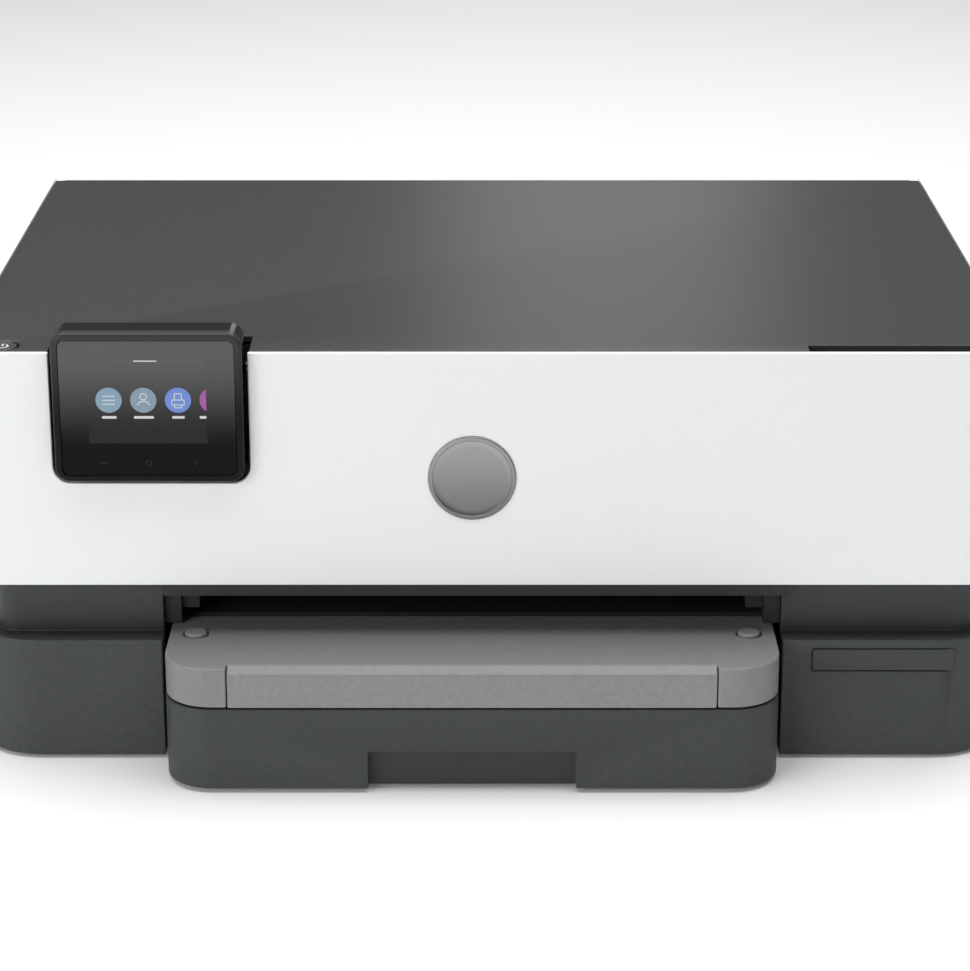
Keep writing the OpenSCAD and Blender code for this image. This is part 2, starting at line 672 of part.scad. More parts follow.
// Tray bin: floor, walls, runners, slots for the guides and the pinion's pin
module tray_bin() color(dark) {
    difference() {
        slab([path_x - bin_half, path_x + bin_half], [bin_front, bin_rear], [bin_floor[0], bin_top],
             tray_r - 7.6, 2);
        slab([path_x - bin_half + bin_wall, path_x + bin_half - bin_wall], [bin_front + bin_wall,
            bin_rear - bin_wall],
             [bin_floor[1], bin_top + 1], tray_r - 10, inner_r);
        // slots that the width guides' posts run in
        for (s = [-1, 1]) {
            outer = path_x + s * (paper_w / 2 + guide_t + 1);
            inner = path_x + s * (paper_w / 2 - guide_travel - 7);
            block([min(outer, inner), max(outer, inner)],
                  [pinion_y - s * (post_y + 2) - 2.6, pinion_y - s * (post_y + 2) + 2.6],
                  [bin_floor[0] - 1, bin_floor[1] + 1]);
        }
        // slot of the length guide
        block([path_x - 5, path_x + 5], [bin_front + 4, bin_front + 16 + stop_travel],
              [bin_floor[0] - 1, bin_floor[1] + 1]);
    }
    for (s = [-1, 1])
        block([path_x + s * (bin_half - 4) - 1, path_x + s * (bin_half - 4) + 1], [bin_front + 20,
            bin_rear - 4],
              [floor_z + 0.1, bin_floor[0] + eps]);
    rod_z(path_x, pinion_y, [floor_z + 0.6, bin_floor[0] + eps], pinion_pin_r);
}

// Curved front of the input tray, with its handle notch and two side returns
module tray_fascia() color(dark) {
    notch_z = base_z + 0.4 + handle_h;
    box_y = [y_tray + 4.6, y_tray + 6.8];
    difference() {
        slab([path_x - tray_w / 2, path_x + tray_w / 2], [y_tray, fascia_back], [base_z + 0.4, tray_top],
            tray_r, inner_r);
        slab([path_x - bin_half, path_x + bin_half], [y_tray + skin, fascia_back + 1], [base_z - 1,
            tray_top + 1],
             tray_r - skin, 0.2);
        block([path_x - handle_w / 2, path_x + handle_w / 2], [y_tray - 1, y_tray + skin + 1],
            [base_z - 1, notch_z]);
    }
    // back wall and roof of the notch
    difference() {
        block([path_x - handle_w / 2 - 2, path_x + handle_w / 2 + 2], [y_tray + skin - eps, box_y[1]],
              [base_z + 0.4, notch_z + 2]);
        block([path_x - handle_w / 2, path_x + handle_w / 2], [y_tray, box_y[0]], [base_z - 1, notch_z]);
    }
    // ribs that join the skin to the bin
    for (s = [-1, 1], k = [60, 90])
        block([path_x + s * k - 1, path_x + s * k + 1], [y_tray + skin - eps, bin_front], [bin_floor[0],
            tray_top - 8]);
}

module separation_pad() color([0.45, 0.3, 0.2])
    block([path_x - 12, path_x + 12], [pick_y + 12, pick_y + 36], [bin_floor[1], bin_floor[1] + 1]);

// One side guide: the fin against the paper, its foot, and the rack under the floor (s = -1 is the left
// one)
module paper_guide(s) color([0.35, 0.36, 0.37]) {
    face = path_x + s * paper_w / 2;
    rack_y = pinion_y - s * pinion_r;
    block([min(face, face + s * guide_t), max(face, face + s * guide_t)], guide_y, [bin_floor[1] + 0.2,
        bin_top + 3]);
    block([min(face, face + s * 11), max(face, face + s * 11)], guide_y, [bin_floor[1] + 0.2,
        bin_floor[1] + 1.8]);
    block([min(face - s * 5, face + s * guide_t), max(face - s * 5, face + s * guide_t)],
          [pinion_y - s * (post_y + 2) - 1.8, pinion_y - s * (post_y + 2) + 1.8], [rack_z[0],
              bin_floor[1] + 0.2 + eps]);
    block([min(face - s * 5, face + s * guide_t), max(face - s * 5, face + s * guide_t)],
          [pinion_y - s * (post_y + 2) - 1.8, pinion_y - s * (post_y + 2) + 1.8], [bin_floor[1] + 0.2,
              bin_floor[1] + 1.8]);
    translate([path_x, rack_y, rack_z[0]]) mirror([0, s < 0 ? 1 : 0, 0]) mirror([s < 0 ? 1 : 0, 0, 0]) {
        rack([-10, guide_travel + 10], rack_z[1] - rack_z[0]);
        translate([guide_travel, -rack_w + 1.2, 0])
            cube([paper_w / 2 - guide_travel, rack_w - 1.2 - 1.25 * gear_m, rack_z[1] - rack_z[0]]);
    }
}
module left_paper_guide() paper_guide(-1);
module right_paper_guide() paper_guide(1);

module guide_pinion() color(grey)
    translate([path_x, pinion_y, rack_z[0]]) gear(pinion_n, rack_z[1] - rack_z[0], pinion_pin_r + run_gap);

// Stop against the paper's near edge, on a foot that runs in the middle slot
module length_guide() color([0.35, 0.36, 0.37]) {
    y = bin_front + 5;
    block([path_x - 32, path_x + 32], [y, y + 2.4], [bin_floor[1] + 0.2, bin_top]);
    block([path_x - 14, path_x + 14], [y, y + 10], [bin_floor[1] + 0.2, bin_floor[1] + 2]);
    block([path_x - 4.6, path_x + 4.6], [y, y + 10], [bin_floor[0] - 0.4, bin_floor[1] + 0.2 + eps]);
    block([path_x - 8, path_x + 8], [y, y + 10], [bin_floor[0] - 1.8, bin_floor[0] - 0.3]);
}

// ---------------------------------------------------------------- print engine

deck_z = [ledge_z - base_wall + eps, ledge_z - base_wall + 2];
lug_x = [14.4, 17];

// Deck across the bay: it rests on the pods' inner walls and carries the platen and the pickup arm
module bay_deck() color(black) {
    difference() {
        block([bay_x[0] - base_wall, bay_x[1] + base_wall], [output_back + 2, pick_y + 8], deck_z);
        block([path_x - lug_x[0], path_x + lug_x[0]], [pick_y - 12, pick_y + 9], [deck_z[0] - 1,
            deck_z[1] + 1]);
    }
    for (s = [-1, 1]) difference() {
        block([min(path_x + s * lug_x[0], path_x + s * lug_x[1]), max(path_x + s * lug_x[0],
            path_x + s * lug_x[1])],
              [pick_y - 6, pick_y + 6], [deck_z[1] - eps, pick_z + 5]);
        rod_x([path_x + s * lug_x[0] - 5, path_x + s * lug_x[1] + 5], pick_y, pick_z, shaft_r + run_gap);
    }
}

// Two upright steel side plates with folded feet; the left one carries the idler gear's stub
module side_frames() color(steel) {
    for (s = [0, 1]) {
        x = s == 0 ? [frame_x[0] - frame_t, frame_x[0]] : [frame_x[1], frame_x[1] + frame_t];
        foot = s == 0 ? [frame_x[0] - eps, frame_x[0] + 14] : [frame_x[1] - 14, frame_x[1] + eps];
        difference() {
            along_x(x, [[exit_y - 22, boss_z], [rod_y + 50, boss_z], [rod_y + 50, carriage_top + 4],
                [rod_y - 12, carriage_top + 4],
                        [rod_y - 22, platen_z + 12], [exit_y - 22, platen_z + 12]]);
            rod_x([x[0] - 1, x[1] + 1], exit_y, roller_z, shaft_r + run_gap);
            rod_x([x[0] - 1, x[1] + 1], feed_y, roller_z, shaft_r + run_gap);
            rod_x([x[0] - 1, x[1] + 1], rod_y, rod_z, rod_d / 2);
            if (s == 0) rod_x([x[0] - 1, x[1] + 1], drive_y, drive_z, 4);
        }
        for (y = frame_foot_y) difference() {
            block(foot, [y - 6, y + 6], [boss_z, boss_z + frame_t]);
            rod_z(s == 0 ? frame_x[0] + 8 : frame_x[1] - 8, y, [boss_z - 1, boss_z + 3], screw_r);
        }
    }
    rod_x([gear_x - 0.5, frame_x[0] - frame_t + eps], idler_y, roller_z, 3);
}

module case_screws() color(steel)
    for (x = [frame_x[0] + 8, frame_x[1] - 8], y = frame_foot_y)
        translate([x, y, boss_z + frame_t]) screw(5);

// Steel beam behind the guide rod, with a top flange for the carriage's rear slider and the idler
// pulley's stub
module rear_beam() color(steel) {
    difference() {
        union() {
            block(frame_x, beam_y, beam_z);
            block(frame_x, [rod_y + 4, beam_y[1]], [beam_z[1] - frame_t, beam_z[1]]);
        }
        rod_yy(pulley_x[0], [beam_y[0] - 1, beam_y[1] + 1], belt_z, 3.5);
        for (k = [0 : 5])
            block([frame_x[0] + 48 + k * 54, frame_x[0] + 80 + k * 54], [beam_y[0] - 1, beam_y[1] + 1],
                  [rod_z - 6, rod_z + 4]);
    }
    rod_yy(pulley_x[1], [belt_y[0] - 1.2, beam_y[0] + eps], belt_z, motor_shaft_r);
}

module guide_rod() color(steel) rod_x([frame_x[0] - frame_t - 1, frame_x[1] + frame_t + 0.5], rod_y,
    rod_z, rod_d / 2);

// Ribbed platen on two legs
module platen() color(black) {
    x = [path_x - paper_w / 2 - 3, path_x + paper_w / 2 + 3];
    block(x, [exit_y + 8, feed_y - 8], [platen_z - 8, platen_z - 2]);
    for (k = [0 : 18])
        block([x[0] + 2 + k * (x[1] - x[0] - 5) / 18, x[0] + 3 + k * (x[1] - x[0] - 5) / 18],
              [exit_y + 9, feed_y - 9], [platen_z - 2 - eps, platen_z - 0.6]);
    for (s = [-1, 1])
        block([path_x + s * (paper_w / 2 - 10) - 2, path_x + s * (paper_w / 2 - 10) + 2], [exit_y + 18,
            feed_y - 18], [deck_z[1], platen_z - 8 + eps]);
}

module encoder_strip() color([0.8, 0.82, 0.8, 0.5])
    block(frame_x, [carriage_back + 3.6, carriage_back + 3.9], [carriage_top - 16, carriage_top - 6]);

// Spring arms on the beam that hold the pinch rollers' axle
module pinch_arms() color(black)
    for (k = [-3 : 3]) difference() {
        x = path_x + k * 32;
        union() {
            rod_x([x - 2, x + 2], feed_y, pinch_z, 2.6);
            block([x - 2, x + 2], [feed_y, beam_y[0]], [pinch_z - 0.6, pinch_z + 2.2]);
        }
        rod_x([x - 3, x + 3], feed_y, pinch_z, pinch_axle_r + run_gap);
    }

module pinch_rollers() color(rubber) {
    rod_x([path_x - 99, path_x + 99], feed_y, pinch_z, pinch_axle_r);
    for (k = [-2.5 : 1 : 2.5]) rod_x([path_x + k * 32 - 11, path_x + k * 32 + 11], feed_y, pinch_z,
        pinch_r);
}

module carriage_motor() color([0.3, 0.3, 0.32]) difference() {
    union() {
        rod_yy(pulley_x[0], [beam_y[1], beam_y[1] + 26], belt_z, 12.5);
        rod_yy(pulley_x[0], [beam_y[0] - 0.6, beam_y[1] + 1], belt_z, 3.4);
    }
    rod_yy(pulley_x[0], [beam_y[0] - 2, beam_y[1] + 14], belt_z, motor_shaft_r + run_gap);
}

module pulley_wheel(x, bore) difference() {
    union() {
        rod_yy(x, [belt_y[0] - 0.4 - eps, belt_y[1] + 0.4 + eps], belt_z, pulley_r);
        rod_yy(x, [belt_y[0] - 1.2, belt_y[0] - 0.4], belt_z, belt_r + 1.6);
        rod_yy(x, [belt_y[1] + 0.4, belt_y[1] + 1.2], belt_z, belt_r + 1.6);
    }
    if (bore > 0) rod_yy(x, [belt_y[0] - 3, belt_y[1] + 3], belt_z, bore);
}
module motor_pulley() color(grey) {
    pulley_wheel(pulley_x[0], 0);
    rod_yy(pulley_x[0], [belt_y[1], beam_y[1] + 12], belt_z, motor_shaft_r);
}
module idler_pulley() color(grey) pulley_wheel(pulley_x[1], motor_shaft_r + run_gap);

module belt_ring(r) {
    for (x = pulley_x) rod_yy(x, belt_y, belt_z, r);
    block(pulley_x, belt_y, [belt_z - r, belt_z + r]);
}
module drive_belt() color(rubber) difference() {
    belt_ring(belt_r + belt_t);
    translate([0, belt_y[0] - 1, 0]) for (x = pulley_x) rod_yy(x, [0, 7], belt_z, belt_r);
    block(pulley_x, [belt_y[0] - 1, belt_y[1] + 1], [belt_z - belt_r, belt_z + belt_r]);
}

module feed_motor() color([0.3, 0.3, 0.32]) difference() {
    union() {
        rod_x([frame_x[0], frame_x[0] + 26], drive_y, drive_z, 14);
        rod_x([frame_x[0] - frame_t - 0.3, frame_x[0] + 1], drive_y, drive_z, 3.9);
    }
    rod_x([frame_x[0] - 3, frame_x[0] + 16], drive_y, drive_z, motor_shaft_r + run_gap);
}

// A gear on an axis along X
module side_gear(n, y, z, bore, phase) translate([gear_x, y, z]) rotate([90, 0, 90]) gear(n, gear_w,
    bore, phase);
phase_idler = mesh_phase(0, feed_n, idler_n, 180);
phase_exit = mesh_phase(phase_idler, idler_n, feed_n, 180);
phase_drive = mesh_phase(0, feed_n, drive_n, drive_angle);

module feed_gear() color(white) side_gear(feed_n, feed_y, roller_z, shaft_r, 0);
module idler_gear() color(white) side_gear(idler_n, idler_y, roller_z, 3 + run_gap, phase_idler);
module motor_pinion() color([0.8, 0.66, 0.3]) {
    side_gear(drive_n, drive_y, drive_z, motor_shaft_r - eps, phase_drive);
    rod_x([gear_x, frame_x[0] + 14], drive_y, drive_z, motor_shaft_r);
}
module feed_roller() color(steel) {
    rod_x([gear_x - 0.5, frame_x[1] + frame_t + 0.4], feed_y, roller_z, shaft_r);
    rod_x([path_x - paper_w / 2 - 4, path_x + paper_w / 2 + 4], feed_y, roller_z, roller_r);
}
// Plastic exit shaft with its moulded gear and eight rubber tyres
module exit_roller() color(black) {
    rod_x([gear_x - 0.5, frame_x[1] + frame_t + 0.4], exit_y, roller_z, shaft_r);
    side_gear(feed_n, exit_y, roller_z, shaft_r - eps, phase_exit);
    for (k = [-3.5 : 1 : 3.5]) rod_x([path_x + k * 28 - 6, path_x + k * 28 + 6], exit_y, roller_z,
        roller_r);
}

// Pickup arm: two cheeks joined by a web, swinging on a pin in the deck's lugs
module pickup_arm() color(black) translate([path_x, pick_y, pick_z]) rotate([pick_angle, 0, 0]) {
    for (s = [-1, 1]) difference() {
        union() {
            block([s > 0 ? 11 : -13.4, s > 0 ? 13.4 : -11], [0, pick_reach], [-4, 4]);
            rod_x([s > 0 ? 11 : -13.4, s > 0 ? 13.4 : -11], 0, 0, 4.6);
            rod_x([s > 0 ? 11 : -13.4, s > 0 ? 13.4 : -11], pick_reach, 0, 4);
        }
        rod_x([s * 12 - 3, s * 12 + 3], pick_reach, 0, 2 + run_gap);
    }
    block([-11 - eps, 11 + eps], [6, pick_reach - pick_r - 2], [1.6, 4]);
    rod_x([-lug_x[1] - 0.6, lug_x[1] + 0.6], 0, 0, shaft_r);
}
module pickup_roller() color(rubber) translate([path_x, pick_y, pick_z]) rotate([pick_angle, 0, 0]) {
    rod_x([-10.4, 10.4], pick_reach, 0, pick_r);
    rod_x([-13.6, 13.6], pick_reach, 0, 2);
}

// ---------------------------------------------------------------- carriage and ink

carriage_x = [park_x - carriage_w / 2, park_x + carriage_w / 2];
carriage_wall = 2.4;
carriage_floor = carriage_z + 3;

// Carriage on the guide rod, parked at the right: ink bays, bush, rear slider and belt claw
module carriage() color(black) difference() {
    union() {
        difference() {
            block(carriage_x, [carriage_front, carriage_back], [carriage_z, carriage_top]);
            for (k = [0 : 3])
                block([ink_x(k) - ink_w / 2 - 0.3, ink_x(k) + ink_w / 2 + 0.3],
                      [carriage_front + carriage_wall, carriage_back - carriage_wall], [carriage_floor,
                          carriage_top + 1]);
            // low front, so that the cartridges can be gripped
            block([carriage_x[0] - 1, carriage_x[1] + 1], [carriage_front - 1, carriage_front + 12],
                  [carriage_top - 22, carriage_top + 1]);
        }
        rod_x([carriage_x[0] + 6, carriage_x[1] - 6], rod_y, rod_z, bush_r);
        block([carriage_x[0] + 6, carriage_x[1] - 6], [carriage_back - eps, rod_y], [rod_z - 5, rod_z + 5]);
        block([park_x - 10, park_x + 10], [carriage_back - 2, rod_y + 10], [beam_z[1] - frame_t - 3.7,
            beam_z[1] - frame_t - 0.3]);
        block([park_x - 6, park_x + 6], [rod_y - 4, belt_y[0] - 0.6], [rod_z, belt_z - belt_r + 2.5]);
        for (z = [belt_z - belt_r - belt_t - 2.4, belt_z - belt_r + 0.5])
            block([park_x - 6, park_x + 6], [rod_y, belt_y[1]], [z, z + 2]);
    }
    rod_x([carriage_x[0] - 1, carriage_x[1] + 1], rod_y, rod_z, rod_d / 2 + run_gap);
}

head_z = [platen_z + 2.6, carriage_z];
module print_head() color([0.2, 0.2, 0.22]) {
    block([park_x - 33, park_x + 33], [exit_y + 16, feed_y - 14], [head_z[0] + 0.8, head_z[1]]);
    block([park_x - 28, park_x + 28], [exit_y + 20, feed_y - 18], [head_z[0], head_z[0] + 0.8 + eps]);
}

function ink_x(k) = park_x + (k - 1.5) * ink_pitch;
// One ink cartridge with a stepped front and a finger tab
module cartridge(k, tint) color(tint)
    along_x([ink_x(k) - ink_w / 2, ink_x(k) + ink_w / 2],
            [[carriage_front + 6, carriage_floor + 0.1], [carriage_back - 4, carriage_floor + 0.1],
             [carriage_back - 4, carriage_top + 2], [carriage_front + 14, carriage_top + 2],
             [carriage_front + 14, carriage_top - 6], [carriage_front + 3, carriage_top - 6],
             [carriage_front + 3, carriage_top - 9], [carriage_front + 6, carriage_top - 9]]);
module black_cartridge() cartridge(0, [0.1, 0.1, 0.1]);
module cyan_cartridge() cartridge(1, [0.1, 0.6, 0.8]);
module magenta_cartridge() cartridge(2, [0.8, 0.15, 0.5]);
module yellow_cartridge() cartridge(3, [0.9, 0.8, 0.15]);

// ---------------------------------------------------------------- service station, electrics and rear door

station_x = [park_x - 38, park_x + 38];
station_y = [exit_y + 8, feed_y - 8];
station_z = [ledge_z + 0.5, platen_z - 10];
module service_station() color([0.75, 0.75, 0.72]) {
    difference() {
        block(station_x, station_y, station_z);
        block([station_x[0] + 2, station_x[1] - 2], [station_y[0] + 2, station_y[1] - 2],
            [station_z[0] + 2, station_z[1] + 1]);
    }
    for (x = [max(bay_x[1] + 14, station_x[0] + 12), station_x[1] - 12])
        block([x, x + 4], [station_y[0] + 14, station_y[1] - 14], [floor_z, station_z[0] + eps]);
}

// Capping sled: it rises to seal the head when the carriage is parked
module cap_sled() color([0.2, 0.2, 0.2]) {
    cap_top = head_z[0] - 0.3;
    block([park_x - 32, park_x + 32], [exit_y + 15, feed_y - 13], [cap_top - 9, cap_top - 4]);
    block([park_x - 26, park_x + 26], [exit_y + 19, feed_y - 17], [cap_top - 26, cap_top - 9 + eps]);
    for (x = [park_x - 17, park_x + 17]) difference() {
        block([x - 12, x + 12], [exit_y + 20, feed_y - 18], [cap_top - 4 - eps, cap_top]);
        block([x - 10, x + 10], [exit_y + 22, feed_y - 20], [cap_top - 3, cap_top + 1]);
    }
}

module waste_ink_pad() color([0.85, 0.85, 0.8])
    block([frame_x[0] + 20, bay_x[0] - base_wall - 4], [y_front + 50, y_back - 45], [floor_z,
        floor_z + 22]);

// A socket on the board: a shell with a hollow that opens to the rear
module socket(x, deep, high) difference() {
    block(x, [y_back - deep, y_back - 0.8], [board_z - eps, board_z + high]);
    block([x[0] + 1.5, x[1] - 1.5], [y_back - deep + 4, y_back], [board_z + 1.5, board_z + high - 1.5]);
}
// Main board with its USB and network sockets, three chips and four capacitors
module main_board() color([0.1, 0.35, 0.2]) {
    block(board_x, board_y, [board_z - 1.6, board_z]);
    socket([port_x - 6, port_x + 6], 17, 11);
    socket([port_x + 16, port_x + 30], 20, 12);
    for (k = [0 : 2])
        block([board_x[0] + 8 + k * 24, board_x[0] + 22 + k * 24], [board_y[0] + 8, board_y[0] + 22],
            [board_z - eps, board_z + 1.6]);
    for (k = [0 : 3]) rod_z(board_x[0] + 12 + k * 16, board_y[0] + 32, [board_z - eps, board_z + 11], 4);
}

module power_supply() color([0.2, 0.2, 0.2]) difference() {
    block([inlet_x - 30, inlet_x + 30], [frame_foot_y[1] + 10, y_back - 22], [floor_z, ledge_z - 10]);
    for (k = [0 : 6]) block([inlet_x - 22 + k * 7, inlet_x - 19 + k * 7], [frame_foot_y[1] + 16,
        y_back - 28],
                            [ledge_z - 12, ledge_z]);
}

// Two-pin power inlet in the rear wall
module power_inlet() color(black) difference() {
    block([inlet_x - inlet_size[0] / 2 + 0.3, inlet_x + inlet_size[0] / 2 - 0.3], [y_back - 22,
        y_back - 0.4],
          [inlet_z - inlet_size[1] / 2 + 0.3, inlet_z + inlet_size[1] / 2 - 0.3]);
    block([inlet_x - 8, inlet_x + 8], [y_back - 15, y_back + 1], [inlet_z - 5, inlet_z + 5]);
}

// Rear door: a skin on a round hinge edge, with curved ribs that turn the paper
module rear_door() color(dark) {
    half = rear_door_w / 2 - 0.6;
    turn_y = y_back - 49;
    turn_z = rear_door_z[0] + 12;
    turn_r = 38;
    block([path_x - half, path_x + half], [y_back - base_wall, y_back], [door_z, rear_door_z[1] - 0.6]);
    rod_x([path_x - half, path_x + half], door_y, door_z, door_r);
    rod_x([path_x - half - 3.4, path_x + half + 3.4], door_y, door_z, door_pin_r);
    for (k = [-5 : 5])
        along_x([path_x + k * 21 - 0.8, path_x + k * 21 + 0.8],
                concat([[y_back - base_wall + eps, rear_door_z[1] - 14], [y_back - base_wall + eps,
                    turn_z - 4]],
                       arc([turn_y, turn_z], turn_r, -2, 58, 12)));
}

base_housing();
shell_cover();
rear_panel();
top_frame();
panel_pocket();
output_ramp();
bay_deck();
side_frames();
rear_beam();
guide_rod();
platen();
encoder_strip();
carriage_motor();
feed_motor();
drive_belt();
main_board();
power_supply();
power_inlet();
service_station();
waste_ink_pad();
rubber_feet();
front_badge();
name_plate();
status_lights();
case_screws();
pinch_arms();
pinch_rollers();
lid_panel();
panel_housing();
panel_bezel();
touch_glass();
power_button();
tray_bin();
tray_fascia();
separation_pad();
left_paper_guide();
right_paper_guide();
guide_pinion();
length_guide();
output_tray();
tray_extender();
left_release_button();
right_release_button();
carriage();
print_head();
black_cartridge();
cyan_cartridge();
magenta_cartridge();
yellow_cartridge();
motor_pulley();
idler_pulley();
feed_roller();
feed_gear();
exit_roller();
idler_gear();
motor_pinion();
pickup_arm();
pickup_roller();
rear_door();
cap_sled();
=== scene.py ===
"""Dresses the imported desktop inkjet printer: rounded edges, moulded finishes, its screen, badge and studio."""

from __future__ import annotations

import json
import logging
import math
from collections.abc import Callable, Sequence
from dataclasses import dataclass
from enum import Enum

import bmesh
import bpy
from mathutils import Matrix, Vector

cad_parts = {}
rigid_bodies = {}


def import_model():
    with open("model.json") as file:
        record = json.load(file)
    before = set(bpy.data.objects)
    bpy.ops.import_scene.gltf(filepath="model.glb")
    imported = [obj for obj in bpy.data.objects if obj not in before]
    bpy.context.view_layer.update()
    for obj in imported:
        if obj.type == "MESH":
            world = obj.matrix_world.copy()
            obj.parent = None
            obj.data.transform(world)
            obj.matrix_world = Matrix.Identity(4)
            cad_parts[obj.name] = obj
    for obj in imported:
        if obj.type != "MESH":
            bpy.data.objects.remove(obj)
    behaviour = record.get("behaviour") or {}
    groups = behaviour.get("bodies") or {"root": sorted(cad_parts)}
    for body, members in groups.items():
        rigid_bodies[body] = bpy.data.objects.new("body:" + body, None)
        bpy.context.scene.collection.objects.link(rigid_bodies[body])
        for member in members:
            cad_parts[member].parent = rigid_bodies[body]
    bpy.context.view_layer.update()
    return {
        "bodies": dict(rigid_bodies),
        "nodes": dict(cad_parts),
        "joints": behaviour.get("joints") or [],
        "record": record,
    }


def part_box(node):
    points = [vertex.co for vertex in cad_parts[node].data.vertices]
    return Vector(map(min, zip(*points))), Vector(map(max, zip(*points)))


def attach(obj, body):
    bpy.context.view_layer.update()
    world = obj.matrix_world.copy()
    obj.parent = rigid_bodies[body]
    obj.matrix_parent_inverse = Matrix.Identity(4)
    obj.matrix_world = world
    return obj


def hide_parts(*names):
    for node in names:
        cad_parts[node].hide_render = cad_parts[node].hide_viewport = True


LOG = logging.getLogger("printer")
MM = 0.001
RGB = tuple[float, float, float]
Point = tuple[float, float]

NODE_STEP, NODE_ROW, NODE_DROP = 170, 1700, 260
WELD_REACH = 0.002 * MM
FLAT_ANGLE = 0.4
SHARP_ANGLE = 32.0
SOFT_ANGLE = 48.0
EVEN_WEIGHT = 60
ROUND_STEPS = 3
SMALLEST = 0.1 * MM


def srgb(red: float, green: float, blue: float) -> RGB:
    """Turns a display colour into the linear one that shaders use.

    Args:
        red: Red, from 0 to 255.
        green: Green, from 0 to 255.
        blue: Blue, from 0 to 255.

    Returns:
        The linear colour, each channel from 0 to 1.
    """

    def linear(value: float) -> float:
        """One channel of the colour."""
        v = value / 255.0
        return v / 12.92 if v <= 0.04045 else ((v + 0.055) / 1.055) ** 2.4

    return linear(red), linear(green), linear(blue)


# ---------------------------------------------------------------- shader groups


class Wires:
    """A short way to add and join the nodes of one tree."""

    def __init__(self, tree: bpy.types.NodeTree) -> None:
        """Keeps the tree and a count that spreads its nodes out.

        Args:
            tree: The node tree to build in.
        """
        self.tree = tree
        self.count = 0

    def add(self, kind: str, **settings: object) -> bpy.types.Node:
        """Adds a node.

        Args:
            kind: The node's type name.
            **settings: Its properties.

        Returns:
            The new node.
        """
        node = self.tree.nodes.new(kind)
        row, along = divmod(self.count * NODE_STEP, NODE_ROW)
        node.location = (along, -NODE_DROP * row)
        self.count += 1
        for name, value in settings.items():
            setattr(node, name, value)
        return node

    def join(self, start: bpy.types.NodeSocket, end: bpy.types.NodeSocket) -> None:
        """Links one socket to another."""
        self.tree.links.new(start, end)

    def math(self, operation: str, first: object, second: object = 0.0, third: object = 0.0) -> bpy.types.NodeSocket:
        """Adds a Math node.

        Args:
            operation: The node's operation.
            first: A socket or a number for its first input.
            second: The same for its second input.
            third: The same for its third input.

        Returns:
            The node's output.
        """
        node = self.add("ShaderNodeMath", operation=operation)
        for socket, value in zip(node.inputs, (first, second, third)):
            if isinstance(value, (int, float)):
                socket.default_value = value
            else:
                self.join(value, socket)
        return node.outputs[0]

    def noise(self, scale: object, detail: float = 2.0) -> bpy.types.NodeSocket:
        """Adds a noise texture in the piece's own coordinates.

        Args:
            scale: A socket or a number for the noise's scale, per metre.
            detail: How many octaves it has.

        Returns:
            The noise's value.
        """
        place = self.add("ShaderNodeTexCoord").outputs["Object"]
        texture = self.add("ShaderNodeTexNoise")
        texture.inputs["Detail"].default_value = detail
        self.join(place, texture.inputs["Vector"])
        if isinstance(scale, (int, float)):
            texture.inputs["Scale"].default_value = scale
        else:
            self.join(scale, texture.inputs["Scale"])
        return texture.outputs["Fac"]


Inputs = Sequence[tuple[str, str, object]]


def shader_group(
    name: str, inputs: Inputs, outputs: Sequence[tuple[str, str]], build: Callable[..., None]
) -> bpy.types.NodeTree:
    """Makes a shader node group once, and finds it again after that.

    Args:
        name: The group's name.
        inputs: Name, kind and default of each input.
        outputs: Name and kind of each output.
        build: Fills the group, given its wires and its input and output nodes.

    Returns:
        The group.
    """
    found = bpy.data.node_groups.get(name)
    if found:
        return found
    tree = bpy.data.node_groups.new(name, "ShaderNodeTree")
    for label, kind, default in inputs:
        socket = tree.interface.new_socket(label, in_out="INPUT", socket_type=f"NodeSocket{kind}")
        socket.default_value = default
    for label, kind in outputs:
        tree.interface.new_socket(label, in_out="OUTPUT", socket_type=f"NodeSocket{kind}")
    wires = Wires(tree)
    build(wires, wires.add("NodeGroupInput").outputs, wires.add("NodeGroupOutput").inputs)
    return tree


def mould_grain() -> bpy.types.NodeTree:
    """The fine spark-eroded grain of moulded plastic, as a height."""

    def build(wires: Wires, given: object, out: object) -> None:
        """Mixes fine cells with finer noise."""
        cells = wires.add("ShaderNodeTexVoronoi", feature="SMOOTH_F1")
        wires.join(wires.add("ShaderNodeTexCoord").outputs["Object"], cells.inputs["Vector"])
        wires.join(given["Scale"], cells.inputs["Scale"])
        fine = wires.noise(wires.math("MULTIPLY", given["Scale"], 2.3), 2.0)
        height = wires.math("MULTIPLY_ADD", cells.outputs["Distance"], given["Cells"], fine)
        wires.join(wires.math("MULTIPLY", height, given["Amount"]), out["Height"])

    inputs = [("Scale", "Float", 1500.0), ("Amount", "Float", 1.0), ("Cells", "Float", 0.6)]
    return shader_group("mould_grain", inputs, [("Height", "Float")], build)


